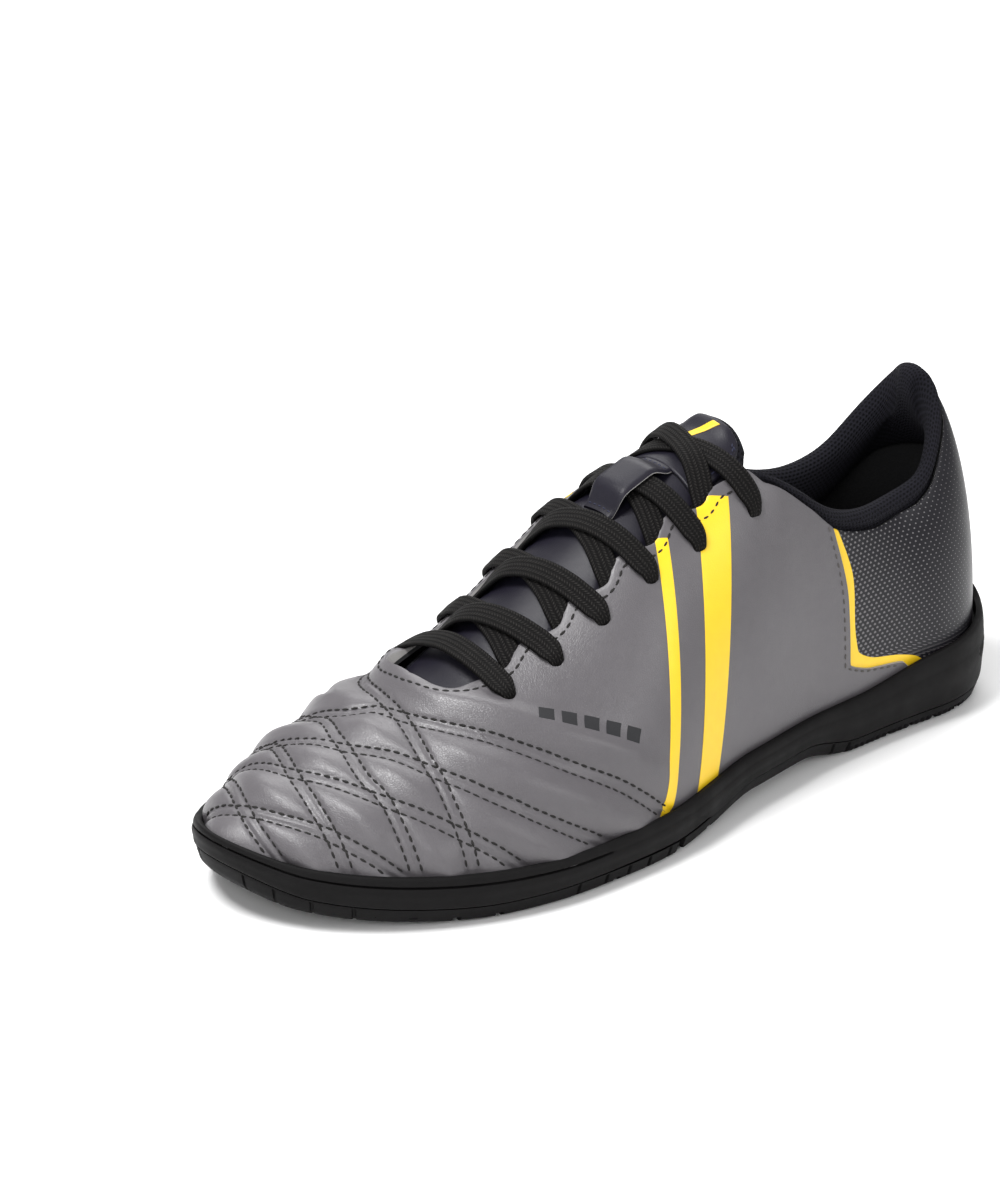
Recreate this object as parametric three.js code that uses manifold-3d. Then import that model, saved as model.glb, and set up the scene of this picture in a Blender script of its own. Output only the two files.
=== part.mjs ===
// A left indoor football shoe: a stitched upper of thin synthetic leather on a low black rubber sole.
// Millimetres, +Z up. The toe points along -X, the outer side of the foot faces -Y, and the floor is z = 0.
import * as THREE from "three";
import { mergeVertices } from "three/addons/utils/BufferGeometryUtils.js";
import Module from "manifold-3d";

const wasm = await Module();
wasm.setup();

// Driving dimensions.
const SHOE_LENGTH = 286; // sole, heel to toe
const BALL_WIDTH = 105; // sole at its widest
const WAIST_WIDTH = 68; // sole under the arch
const HEEL_WIDTH = 72; // sole under the heel
const HEEL_ROUND = 38; // length of the round back end of the sole
const TOE_ROUND = 66; // length of the round front end of the sole
const TOE_SPRING = 12; // lift of the sole's underside at the toe
const ARCH_RISE = 5; // lift of the underside at the waist
const HEEL_BEVEL = 4; // lift of the underside at the very back
const HEEL_RIM = 24; // height of the sole's top edge round the heel
const BALL_RIM = 15; // height of the sole's top edge at the ball
const TREAD_THICKNESS = 5; // rubber under the midsole
const TREAD_DRAFT = 4; // how far the tread's lower edge stands in from the widest line
const TREAD_SHOULDER = 1.2; // how far the tread's upper edge stands in
const GROOVE_DEPTH = 2; // flex grooves in the underside
const GROOVE_WIDTH = 2.4;
const PIVOT_RADIUS = 19; // middle of the round groove under the ball
const SIDE_GROOVE = 0.9; // depth of the groove along the sole's side
const LIP_HEIGHT = 4.5; // how far the sole's edge climbs the upper
const LIP_THICKNESS = 3;
const INSTEP_HEIGHT = 98; // top of the foot at the last eyelet
const TOE_HEIGHT = 44; // top of the toe box
const HEEL_HEIGHT = 99; // leather edge at the back of the heel
const HEEL_LEAN = 4.5; // how far the top of the heel leans forward
const COLLAR_DIP = 67; // leather edge under the ankle
const WALL = 2; // upper's leather with its backing
const PANEL_STEP = 0.8; // how far the heel panel lies below the leather in front of it
const THROAT_HALF = 18; // half the gap between the eyelet flaps at mid length
const EYELET_BORE = 4.6;
const EYELET_HALF = 24.8; // eyelet's centre from the ridge, seen from above
const LACE_WIDTH = 7.5;
const LACE_THICKNESS = 1.6;
const LINING_THICKNESS = 6.5; // padding round the ankle
const LINING_RISE = 5.5; // roll above the leather edge
const TONGUE_THICKNESS = 4.5;
const PATCH_THICKNESS = 1;
const LOOP_LEATHER = 1.2;
const INSOLE_THICKNESS = 4;
const CLEARANCE = 0.3; // between pieces that touch

// Shares of the length, from the heel at 0 to the toe at 1.
const THROAT_FRONT = 0.75;
const THROAT_BACK = 0.372;
const EYELETS = [0.38, 0.457, 0.522, 0.584, 0.641, 0.7];

// Cubic through a table's rows that never overshoots them.
function curve(rows, column) {
  const x = rows.map((row) => row.at);
  const y = rows.map((row) => row[column]);
  const rise = x.slice(1).map((at, i) => (y[i + 1] - y[i]) / (at - x[i]));
  const slope = y.map((_, i) => {
    if (i === 0) return rise[0];
    if (i === y.length - 1) return rise[i - 1];
    const [before, after] = [rise[i - 1], rise[i]];
    return before * after > 0 ? (2 * before * after) / (before + after) : 0;
  });
  return (at) => {
    const t = Math.min(Math.max(at, x[0]), x[x.length - 1]);
    let i = 0;
    while (i < x.length - 2 && t > x[i + 1]) i += 1;
    const width = x[i + 1] - x[i];
    const p = (t - x[i]) / width;
    const q = 1 - p;
    return (
      y[i] * q * q * (1 + 2 * p) +
      y[i + 1] * p * p * (3 - 2 * p) +
      slope[i] * width * p * q * q -
      slope[i + 1] * width * p * p * q
    );
  };
}

const smooth = (low, high, value) => {
  const p = Math.min(Math.max((value - low) / (high - low), 0), 1);
  return p * p * (3 - 2 * p);
};
const mix = (a, b, share) => a + (b - a) * share;

// Plan of the sole: a centre line that swings to the inner side at the toe, and half widths before
// the round ends are taken off.
const PLAN = [
  { at: 0.0, centre: 0.0 * BALL_WIDTH, half: 0.5 * HEEL_WIDTH },
  { at: 0.15, centre: 0.01 * BALL_WIDTH, half: 0.48 * HEEL_WIDTH },
  { at: 0.3, centre: -0.01 * BALL_WIDTH, half: 0.5 * WAIST_WIDTH },
  { at: 0.42, centre: -0.04 * BALL_WIDTH, half: 0.54 * WAIST_WIDTH },
  { at: 0.55, centre: -0.05 * BALL_WIDTH, half: 0.43 * BALL_WIDTH },
  { at: 0.64, centre: -0.025 * BALL_WIDTH, half: 0.48 * BALL_WIDTH },
  { at: 0.72, centre: 0.0 * BALL_WIDTH, half: 0.5 * BALL_WIDTH },
  { at: 0.82, centre: 0.025 * BALL_WIDTH, half: 0.47 * BALL_WIDTH },
  { at: 0.92, centre: 0.05 * BALL_WIDTH, half: 0.43 * BALL_WIDTH },
  { at: 1.0, centre: 0.08 * BALL_WIDTH, half: 0.4 * BALL_WIDTH },
];
// Heights along the sole: its underside and the top of its edge.
const SIDE = [
  { at: 0.0, under: HEEL_BEVEL, rim: 1.35 * HEEL_RIM },
  { at: 0.03, under: 0.2 * HEEL_BEVEL, rim: 1.15 * HEEL_RIM },
  { at: 0.07, under: 0, rim: 1.07 * HEEL_RIM },
  { at: 0.15, under: 0, rim: 0.96 * HEEL_RIM },
  { at: 0.25, under: 0, rim: 0.79 * HEEL_RIM },
  { at: 0.34, under: 0.9 * ARCH_RISE, rim: 0.77 * HEEL_RIM },
  { at: 0.42, under: 0.9 * ARCH_RISE, rim: 0.76 * HEEL_RIM },
  { at: 0.5, under: 0.3 * ARCH_RISE, rim: 1.12 * BALL_RIM },
  { at: 0.57, under: 0, rim: 1.02 * BALL_RIM },
  { at: 0.7, under: 0, rim: 0.95 * BALL_RIM },
  { at: 0.78, under: 0, rim: 1.0 * BALL_RIM },
  { at: 0.88, under: 0.15 * TOE_SPRING, rim: 1.12 * BALL_RIM },
  { at: 0.95, under: 0.4 * TOE_SPRING, rim: 1.3 * BALL_RIM },
  { at: 1.0, under: 1.0 * TOE_SPRING, rim: 1.65 * BALL_RIM },
];
// Sections of the upper: the height that each would close at, how full its outer and inner shoulders
// are, and as shares of the ball's width how far the ridge stands to the inner side and how far the
// inner side swells past the sole.
const SECTIONS = [
  { at: 0.0, top: 1.22 * HEEL_HEIGHT, full: 2.3, inner: 2.3, ridge: 0, swell: 0 },
  { at: 0.05, top: 1.2 * HEEL_HEIGHT, full: 2.3, inner: 2.3, ridge: 0, swell: 0 },
  { at: 0.061, top: 1.15 * HEEL_HEIGHT, full: 2.3, inner: 2.3, ridge: 0, swell: 0 },
  { at: 0.076, top: 1.07 * HEEL_HEIGHT, full: 2.3, inner: 2.3, ridge: 0, swell: 0 },
  { at: 0.097, top: 0.98 * HEEL_HEIGHT, full: 2.3, inner: 2.3, ridge: 0, swell: 0 },
  { at: 0.13, top: 0.89 * HEEL_HEIGHT, full: 2.3, inner: 2.3, ridge: 0, swell: 0 },
  { at: 0.16, top: 0.86 * HEEL_HEIGHT, full: 2.25, inner: 2.25, ridge: 0, swell: 0 },
  { at: 0.2, top: 0.9 * HEEL_HEIGHT, full: 2.25, inner: 2.25, ridge: 0, swell: 0 },
  { at: 0.25, top: 1.0 * HEEL_HEIGHT, full: 2.25, inner: 2.25, ridge: 0.02, swell: 0 },
  { at: 0.3, top: 1.11 * INSTEP_HEIGHT, full: 2.25, inner: 2.4, ridge: 0.03, swell: 0.01 },
  { at: 0.34, top: 1.13 * INSTEP_HEIGHT, full: 2.25, inner: 2.6, ridge: 0.045, swell: 0.02 },
  { at: 0.38, top: 1.06 * INSTEP_HEIGHT, full: 2.25, inner: 2.8, ridge: 0.055, swell: 0.03 },
  { at: 0.46, top: 0.98 * INSTEP_HEIGHT, full: 2.05, inner: 2.8, ridge: 0.065, swell: 0.04 },
  { at: 0.525, top: 0.905 * INSTEP_HEIGHT, full: 1.9, inner: 2.7, ridge: 0.07, swell: 0.035 },
  { at: 0.583, top: 0.8 * INSTEP_HEIGHT, full: 1.8, inner: 2.3, ridge: 0.075, swell: 0.02 },
  { at: 0.635, top: 0.7 * INSTEP_HEIGHT, full: 1.75, inner: 1.95, ridge: 0.07, swell: 0.01 },
  { at: 0.685, top: 0.62 * INSTEP_HEIGHT, full: 1.8, inner: 1.8, ridge: 0.065, swell: 0 },
  { at: 0.74, top: 1.23 * TOE_HEIGHT, full: 1.95, inner: 1.85, ridge: 0.06, swell: 0 },
  { at: 0.8, top: 1.07 * TOE_HEIGHT, full: 2.1, inner: 1.95, ridge: 0.05, swell: 0 },
  { at: 0.85, top: 1.01 * TOE_HEIGHT, full: 2.15, inner: 2.05, ridge: 0.045, swell: 0 },
  { at: 0.9, top: 0.96 * TOE_HEIGHT, full: 2.25, inner: 2.2, ridge: 0.04, swell: 0 },
  { at: 1.0, top: 0.84 * TOE_HEIGHT, full: 2.3, inner: 2.3, ridge: 0.03, swell: 0 },
];
// Leather edge of the collar by the turn, from the back of the heel to the corner of the eyelet flap.
const COLLAR = [
  { at: 0.0, edge: 1.0 * HEEL_HEIGHT },
  { at: 0.047, edge: 0.98 * HEEL_HEIGHT },
  { at: 0.088, edge: 0.91 * HEEL_HEIGHT },
  { at: 0.132, edge: 0.825 * HEEL_HEIGHT },
  { at: 0.175, edge: 1.09 * COLLAR_DIP },
  { at: 0.215, edge: 1.025 * COLLAR_DIP },
  { at: 0.25, edge: 1.0 * COLLAR_DIP },
  { at: 0.28, edge: 1.025 * COLLAR_DIP },
  { at: 0.308, edge: 1.08 * COLLAR_DIP },
  { at: 0.338, edge: 0.83 * INSTEP_HEIGHT },
  { at: 0.372, edge: 0.925 * INSTEP_HEIGHT },
  { at: 0.395, edge: 0.96 * INSTEP_HEIGHT },
];
// Half gap of the throat.
const THROAT = [
  { at: 0.38, half: 0.94 * THROAT_HALF },
  { at: 0.47, half: 0.97 * THROAT_HALF },
  { at: 0.54, half: 1.0 * THROAT_HALF },
  { at: 0.6, half: 1.0 * THROAT_HALF },
  { at: 0.66, half: 0.97 * THROAT_HALF },
  { at: 0.7, half: 0.89 * THROAT_HALF },
  { at: 0.72, half: 0.78 * THROAT_HALF },
  { at: 0.735, half: 0.6 * THROAT_HALF },
  { at: THROAT_FRONT, half: 0 },
];

const planCentre = curve(PLAN, "centre");
const planHalf = curve(PLAN, "half");
const under = curve(SIDE, "under");
const rim = curve(SIDE, "rim");
const sectionTop = curve(SECTIONS, "top");
const outerFull = curve(SECTIONS, "full");
const innerFull = curve(SECTIONS, "inner");
const swellShare = curve(SECTIONS, "swell");
const ridgeShare = curve(SECTIONS, "ridge");
const innerSwell = (share) => swellShare(share) * BALL_WIDTH;
const ridgeShift = (share) => ridgeShare(share) * BALL_WIDTH;
const collarEdge = curve(COLLAR, "edge");
const throatHalf = curve(THROAT, "half");

const HEEL_SHARE = HEEL_ROUND / SHOE_LENGTH;
const TOE_SHARE = TOE_ROUND / SHOE_LENGTH;
const lengthAt = (share) => (0.5 - share) * SHOE_LENGTH;
const shareAt = (x) => 0.5 - x / SHOE_LENGTH;

// A turn runs from 0 at the back of the heel along the outer side to 1 at the toe, and on to 2.
const HEEL_TURN = 0.2;
const TOE_TURN = 0.72;
const wayOfTurn = (turn) => Math.abs(((turn + 3) % 2) - 1);
function shareOfTurn(turn) {
  const way = wayOfTurn(turn);
  if (way < HEEL_TURN) return HEEL_SHARE * (1 - Math.cos(((way / HEEL_TURN) * Math.PI) / 2));
  if (way < TOE_TURN) return mix(HEEL_SHARE, 1 - TOE_SHARE, (way - HEEL_TURN) / (TOE_TURN - HEEL_TURN));
  return 1 - TOE_SHARE + TOE_SHARE * Math.sin((((way - TOE_TURN) / (1 - TOE_TURN)) * Math.PI) / 2);
}
const sideOfTurn = (turn) => (((turn % 2) + 2) % 2 <= 1 ? -1 : 1);
// The turn of a share between the two round ends, on the outer side at -1 or the inner side at 1.
function turnAt(share, side) {
  const way = mix(HEEL_TURN, TOE_TURN, (share - HEEL_SHARE) / (1 - TOE_SHARE - HEEL_SHARE));
  return side < 0 ? way : 2 - way;
}

function outline(turn) {
  const share = shareOfTurn(turn);
  const heel = share < HEEL_SHARE ? Math.sqrt(1 - (1 - share / HEEL_SHARE) ** 2) : 1;
  const into = (share - (1 - TOE_SHARE)) / TOE_SHARE;
  const toe = into > 0 ? Math.sqrt(Math.max(1 - into ** 2, 0)) : 1;
  return new THREE.Vector2(
    lengthAt(share),
    planCentre(share) + sideOfTurn(turn) * planHalf(share) * heel * toe,
  );
}
// A point of the plan, standing in from the sole's widest line.
function inset(turn, distance) {
  const step = 0.002;
  const along = outline(turn + step).sub(outline(turn - step)).normalize();
  return outline(turn).add(new THREE.Vector2(along.y, -along.x).multiplyScalar(distance));
}
// The spine point that a section closes on. Sections fan round one spine point at each end.
function spine(turn, shift) {
  const share = Math.min(Math.max(shareOfTurn(turn), HEEL_SHARE), 1 - TOE_SHARE);
  return new THREE.Vector2(lengthAt(share), planCentre(share) + shift(share));
}

const FEATHER_INSET = LIP_THICKNESS + CLEARANCE;
const footbed = (share) => rim(share) - LIP_HEIGHT;
const upperFoot = (share) => footbed(share) + CLEARANCE;

// How far the quarters lean forward at a height.
const LEAN_END = 0.42;
function lean(share, height) {
  const climb = Math.max(height - HEEL_RIM, 0) / (HEEL_HEIGHT - HEEL_RIM);
  return HEEL_LEAN * climb ** 1.5 * smooth(LEAN_END, 0.1, share);
}

const fullness = (turn) => (sideOfTurn(turn) < 0 ? outerFull : innerFull)(shareOfTurn(turn));
// A point of the upper's outer face at a turn and at an angle up its section, 0 at the sole and 90 at
// the ridge.
function lastPoint(turn, angle) {
  const foot = inset(turn, FEATHER_INSET);
  const share = shareOfTurn(turn);
  const centre = spine(turn, ridgeShift);
  const power = 2 / fullness(turn);
  const radians = (angle * Math.PI) / 180;
  const out = Math.max(Math.cos(radians), 0) ** power;
  const up = Math.sin(radians) ** power;
  const place = centre.clone().lerp(foot, out);
  if (sideOfTurn(turn) > 0) place.y += innerSwell(share) * out * Math.sin(2 * radians);
  const base = upperFoot(share);
  const height = base + (sectionTop(shareAt(place.x)) - base) * up;
  return new THREE.Vector3(place.x - lean(share, height), place.y, height);
}
function lastNormal(turn, angle) {
  const small = 0.004;
  const low = Math.min(Math.max(angle - 0.5, 0.05), 89);
  const high = Math.min(angle + 0.5, 89.8);
  const along = lastPoint(turn + small, angle).sub(lastPoint(turn - small, angle));
  const up = lastPoint(turn, high).sub(lastPoint(turn, low));
  return along.cross(up).normalize().negate();
}
function liftedPoint(turn, angle, lift) {
  return lastPoint(turn, angle).addScaledVector(lastNormal(turn, angle), lift);
}
// The angle at which a section lies at a distance across from the ridge.
function angleAcross(turn, across) {
  const ridge = spine(turn, ridgeShift).y;
  let [low, high] = [10, 90];
  for (let i = 0; i < 20; i += 1) {
    const middle = (low + high) / 2;
    if (Math.abs(lastPoint(turn, middle).y - ridge) > across) low = middle;
    else high = middle;
  }
  return high;
}
// A point over the instep, at a signed distance across from the ridge, raised square to the surface.
function crown(share, across, lift) {
  const turn = turnAt(share, across < 0 ? -1 : 1);
  return liftedPoint(turn, angleAcross(turn, Math.abs(across)), lift);
}

// The angle at which a section first reaches a height.
function angleAtHeight(turn, height) {
  const step = 2;
  let high = step;
  while (high < 90 - step && lastPoint(turn, high).z < height) high += step;
  let low = high - step;
  for (let i = 0; i < 16; i += 1) {
    const middle = (low + high) / 2;
    if (lastPoint(turn, middle).z < height) low = middle;
    else high = middle;
  }
  return high;
}
// The angle at which each section meets the opening.
const openings = new Map();
function openingAngle(turn) {
  if (openings.has(turn)) return openings.get(turn);
  const share = shareOfTurn(turn);
  const throat = share >= THROAT_FRONT ? 90 : angleAcross(turn, throatHalf(share));
  const along = smooth(THROAT_BACK - 0.015, THROAT_BACK + 0.01, share);
  const collar = along < 1 ? angleAtHeight(turn, collarEdge(wayOfTurn(turn))) : throat;
  const angle = mix(collar, throat, along);
  openings.set(turn, angle);
  return angle;
}

function geometryOf(points, faces) {
  const geometry = new THREE.BufferGeometry();
  const numbers = points.flatMap((p) => [p.x, p.y, p.z]);
  geometry.setAttribute("position", new THREE.Float32BufferAttribute(numbers, 3));
  geometry.setIndex(faces);
  return geometry;
}
// Rings of equal length joined into one skin. Closed means that the last ring joins the first. From
// the band called turned on, each square is split along its other diagonal.
function skin(rings, closed, skip = () => false, turned = rings.length) {
  const count = rings[0].length;
  const faces = [];
  const last = closed ? rings.length : rings.length - 1;
  for (let r = 0; r < last; r += 1) {
    for (let c = 0; c < count; c += 1) {
      if (skip(r, c)) continue;
      const [a, b] = [r * count + c, r * count + ((c + 1) % count)];
      const next = ((r + 1) % rings.length) * count;
      const [d, e] = [next + c, next + ((c + 1) % count)];
      if (r < turned) faces.push(a, e, b, a, d, e);
      else faces.push(a, d, b, b, d, e);
    }
  }
  return geometryOf(rings.flat(), faces);
}
// Rings along a bar, each a closed section that turns left as seen from the bar's far end, capped
// at both ends by a strip between the section's two halves.
function bar(rings) {
  const count = rings[0].length;
  const faces = [];
  for (let r = 0; r < rings.length - 1; r += 1) {
    for (let c = 0; c < count; c += 1) {
      const [a, b] = [r * count + c, r * count + ((c + 1) % count)];
      faces.push(a, b, b + count, a, b + count, a + count);
    }
  }
  const end = (rings.length - 1) * count;
  for (let c = 0; c < count / 2 - 1; c += 1) {
    const [a, b, d, e] = [c, c + 1, count - 1 - c, count - 2 - c];
    faces.push(a, e, b, a, d, e);
    faces.push(end + a, end + b, end + e, end + a, end + e, end + d);
  }
  return geometryOf(rings.flat(), faces);
}

// Solids for cutting and joining.
function toManifold(geometry) {
  geometry.deleteAttribute("normal");
  geometry.deleteAttribute("uv");
  const merged = mergeVertices(geometry, 1e-4);
  const mesh = new wasm.Mesh({
    numProp: 3,
    vertProperties: Float32Array.from(merged.getAttribute("position").array),
    triVerts: Uint32Array.from(merged.index.array),
  });
  return new wasm.Manifold(mesh);
}
function fromManifold(manifold) {
  const mesh = manifold.getMesh();
  const geometry = new THREE.BufferGeometry();
  geometry.setAttribute("position", new THREE.Float32BufferAttribute(mesh.vertProperties, 3));
  geometry.setIndex(Array.from(mesh.triVerts));
  return geometry;
}

// The main piece of a solid that was cut, without slivers left by the cutters.
const larger = (a, b) => (a.volume() > b.volume() ? a : b);
const largest = (body) => body.decompose().reduce(larger);

const COLUMNS = { heel: 5, side: 17, toe: 7 };
function turns() {
  const way = [];
  for (let i = 0; i < COLUMNS.heel; i += 1) way.push((HEEL_TURN * i) / COLUMNS.heel);
  for (let i = 0; i < COLUMNS.side; i += 1) way.push(mix(HEEL_TURN, TOE_TURN, i / COLUMNS.side));
  for (let i = 0; i <= COLUMNS.toe; i += 1) way.push(mix(TOE_TURN, 1, i / COLUMNS.toe));
  way.push(turnAt(THROAT_FRONT, -1));
  way.sort((a, b) => a - b);
  return [...way, ...way.slice(1, -1).reverse().map((turn) => 2 - turn)];
}
const TURNS = turns();

// Upper: the wall runs up the outer face and back down the inner one. Over the vamp both sides meet.
const UPPER_ROWS = 10;
function upperShell(drop) {
  const outer = [];
  const inner = [];
  for (let r = 0; r <= UPPER_ROWS; r += 1) {
    const angles = TURNS.map((turn) => (openingAngle(turn) * r) / UPPER_ROWS);
    outer.push(TURNS.map((turn, c) => liftedPoint(turn, angles[c], -drop)));
    inner.push(TURNS.map((turn, c) => liftedPoint(turn, angles[c], -WALL)));
  }
  // The panel's shell starts a little above the other, so that the two share no face at the foot.
  for (const ring of [outer[0], inner[0]])
    ring.forEach((p, c) => {
      p.z = lastPoint(TURNS[c], 0).z + 0.2 * drop;
    });
  const open = TURNS.map((turn) => shareOfTurn(turn) < THROAT_FRONT);
  const tip = TURNS.findIndex((turn) => turn >= TOE_TURN);
  for (const ring of [outer[UPPER_ROWS], inner[UPPER_ROWS]]) {
    const opposite = (c) => ring[(TURNS.length - c) % TURNS.length];
    const middle = (c) => ring[c].clone().lerp(opposite(c), 0.5);
    const fan = middle(tip);
    const meeting = ring.map((p, c) => (wayOfTurn(TURNS[c]) < TOE_TURN ? middle(c) : fan));
    ring.forEach((p, c) => {
      if (!open[c]) p.copy(meeting[c]);
    });
  }
  const rings = [...outer, ...inner.reverse()];
  const skip = (r, c) => r === UPPER_ROWS && !open[c] && !open[(c + 1) % TURNS.length];
  return toManifold(skin(rings, true, skip));
}
// The heel panel's seam runs down the quarter and turns back along the sole.
const PANEL_SEAM = [
  { at: 0.0, back: 0.13 },
  { at: 0.235, back: 0.18 },
  { at: 0.26, back: 0.235 },
  { at: 0.3, back: 0.262 },
  { at: 0.5, back: 0.262 },
  { at: 0.7, back: 0.272 },
  { at: 1.2, back: 0.31 },
];
function behindSeam() {
  const points = PANEL_SEAM.map((row) => new THREE.Vector2(lengthAt(row.back), row.at * HEEL_HEIGHT));
  const far = SHOE_LENGTH;
  const shape = new THREE.Shape([
    new THREE.Vector2(far, -far),
    new THREE.Vector2(far, points[points.length - 1].y),
    ...points.reverse(),
    new THREE.Vector2(points[points.length - 1].x, -far),
  ]);
  const block = new THREE.ExtrudeGeometry(shape, { depth: 2 * far, bevelEnabled: false });
  block.rotateX(Math.PI / 2);
  block.translate(0, far, 0);
  return toManifold(block);
}
function eyeletPunch(row, side) {
  const punch = new THREE.CylinderGeometry(EYELET_BORE / 2, EYELET_BORE / 2, 8 * WALL, 8);
  const middle = crown(EYELETS[row], side * EYELET_HALF, 0);
  const out = crown(EYELETS[row], side * EYELET_HALF, 1).sub(middle).normalize();
  punch.applyQuaternion(new THREE.Quaternion().setFromUnitVectors(new THREE.Vector3(0, 1, 0), out));
  punch.translate(middle.x, middle.y, middle.z);
  return toManifold(punch);
}
function upperGeometry() {
  const front = upperShell(0).subtract(behindSeam());
  let body = upperShell(PANEL_STEP).add(front);
  for (let row = 0; row < EYELETS.length; row += 1) {
    for (const side of [-1, 1]) body = body.subtract(eyeletPunch(row, side));
  }
  return body;
}

// Padded lining round the ankle: a roll over the leather edge, thinning out towards the eyelet flaps.
const LINING_END = mix(HEEL_TURN, TOE_TURN, 6 / COLUMNS.side); // one of the upper's columns
const LINING_FOOT = 0.6; // shares of the leather's height that the lining's lower rows lie at
const LINING_MIDDLE = 0.8;
const liningFade = (way) => smooth(0.3, LINING_END, way);
const liningThickness = (way) => mix(LINING_THICKNESS, 0.45 * LINING_THICKNESS, liningFade(way));
function liningSection(turn) {
  const way = wayOfTurn(turn);
  const thick = liningThickness(way);
  const rise = mix(LINING_RISE, 0.5 * LINING_RISE, liningFade(way));
  const angle = openingAngle(turn);
  const edge = lastPoint(turn, angle);
  const edgeOut = lastNormal(turn, angle);
  const side = new THREE.Vector3(edgeOut.x, edgeOut.y, 0).normalize();
  const gap = WALL + CLEARANCE;
  const roll = (inward, up) =>
    edge
      .clone()
      .addScaledVector(side, -inward)
      .add(new THREE.Vector3(0, 0, up));
  return [
    liftedPoint(turn, LINING_FOOT * angle, -gap),
    liftedPoint(turn, LINING_MIDDLE * angle, -gap),
    liftedPoint(turn, angle, -gap - 0.2),
    roll(0.25 * thick, CLEARANCE + 0.3 * rise),
    roll(0.45 * thick, rise),
    roll(0.95 * thick, rise),
    roll(thick + 0.7 * WALL, 0.4 * rise),
    liftedPoint(turn, angle, -gap - thick),
    liftedPoint(turn, LINING_MIDDLE * angle, -gap - thick),
    liftedPoint(turn, LINING_FOOT * angle, -gap - 0.4 * thick),
  ];
}
function liningGeometry() {
  const outerSide = TURNS.filter((turn) => turn < LINING_END - 0.001);
  const ways = [...outerSide, LINING_END];
  const turnsRound = [...ways.slice(1).reverse().map((way) => -way), ...ways];
  return bar(turnsRound.map(liningSection));
}

// Tongue: one padded sheet from under the vamp to above the last eyelet.
const TONGUE_FRONT = 0.77;
const TONGUE_TOP = 0.36;
const TONGUE_STATIONS = 13;
const TONGUE = [
  { at: TONGUE_TOP, half: 0.8 * THROAT_HALF },
  { at: 0.37, half: 1.0 * THROAT_HALF },
  { at: 0.42, half: 1.25 * THROAT_HALF },
  { at: 0.55, half: 1.5 * THROAT_HALF },
  { at: 0.7, half: 1.2 * THROAT_HALF },
  { at: TONGUE_FRONT, half: 0.9 * THROAT_HALF },
];
const tongueHalf = curve(TONGUE, "half");
const TUCK_START = 0.405; // turns between which the tongue's edges tuck in
const TUCK_END = 0.375;
// How deep the tongue's face lies under the outer face: its edges tuck in behind the collar lining,
// and its front end dips under the vamp.
function tongueDepth(share, across) {
  const way = wayOfTurn(turnAt(share, -1));
  const tuck = (liningThickness(way) + CLEARANCE) * smooth(TUCK_START, TUCK_END, way);
  const dip = 0.5 * TONGUE_THICKNESS * smooth(0.66, THROAT_FRONT, share);
  const aside = smooth(0.35 * THROAT_HALF, 0.9 * THROAT_HALF, Math.abs(across));
  return WALL + 3 * CLEARANCE + dip + tuck * aside;
}
// A sheet over the instep between two shares, from one lift over the tongue's face to another.
function instepSheet(from, to, stations, low, high) {
  const columns = 10;
  const rings = [];
  for (let i = 0; i <= stations; i += 1) {
    const share = mix(from, to, i / stations);
    const top = [];
    const bottom = [];
    for (let j = 0; j <= columns; j += 1) {
      const across = mix(-1, 1, j / columns) * tongueHalf(share);
      const face = -tongueDepth(share, across);
      const edge = j === 0 || j === columns ? 0.6 : 1;
      top.push(crown(share, across, face + (high > 0 ? edge * high : 0)));
      bottom.push(crown(share, across, face + (low < 0 ? edge * low : low)));
    }
    rings.push([...top, ...bottom.reverse()]);
  }
  return bar(rings);
}
const tongueSheet = (stations, low, high) =>
  instepSheet(TONGUE_TOP, mix(TONGUE_TOP, TONGUE_FRONT, stations / TONGUE_STATIONS), stations, low, high);
const tongueGeometry = () => tongueSheet(TONGUE_STATIONS, -TONGUE_THICKNESS, 0);
// Leather patch on the tongue's top end, with a round top: cut from a sheet that runs with the tongue.
const PATCH_FOOT = 0.435;
const PATCH_TOP = TONGUE_TOP + 0.005;
function patchGeometry() {
  const sheet = toManifold(tongueSheet(3, CLEARANCE, CLEARANCE + PATCH_THICKNESS));
  const right = [];
  const left = [];
  for (let i = 0; i <= 8; i += 1) {
    const down = i / 8;
    const share = mix(PATCH_TOP, PATCH_FOOT, down ** 2);
    const half = 0.8 * THROAT_HALF * Math.sqrt(1 - (1 - down) ** 4);
    right.push(crown(share, -half, 0));
    left.push(crown(share, half, 0));
  }
  const corners = [...right, ...left.slice(1).reverse()].map((p) => new THREE.Vector2(p.x, p.y));
  const plan = new THREE.Shape(corners);
  const block = new THREE.ExtrudeGeometry(plan, { depth: 2 * HEEL_HEIGHT, bevelEnabled: false });
  return sheet.intersect(toManifold(block));
}

// Lace: a flat band standing on its path, with a second row of points that shows which way is up.
function ribbon(path) {
  const points = path.map((p) => crown(p.share, p.across, p.lift));
  const above = path.map((p) => crown(p.share, p.across, p.lift + 1));
  const rings = points.map((p, i) => {
    const before = points[Math.max(i - 1, 0)];
    const after = points[Math.min(i + 1, points.length - 1)];
    const along = after.clone().sub(before).normalize();
    const across = along.clone().cross(above[i].clone().sub(p)).normalize();
    const up = across.clone().cross(along).normalize();
    const corner = (sideways, rise) =>
      p
        .clone()
        .addScaledVector(across, (sideways * LACE_WIDTH) / 2)
        .addScaledVector(up, rise * LACE_THICKNESS);
    return [corner(-1, 1), corner(1, 1), corner(1, 0), corner(-1, 0)];
  });
  return bar(rings);
}
const LACE_LIFT = 0.6;
const LACE_STEPS = 8;
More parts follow.
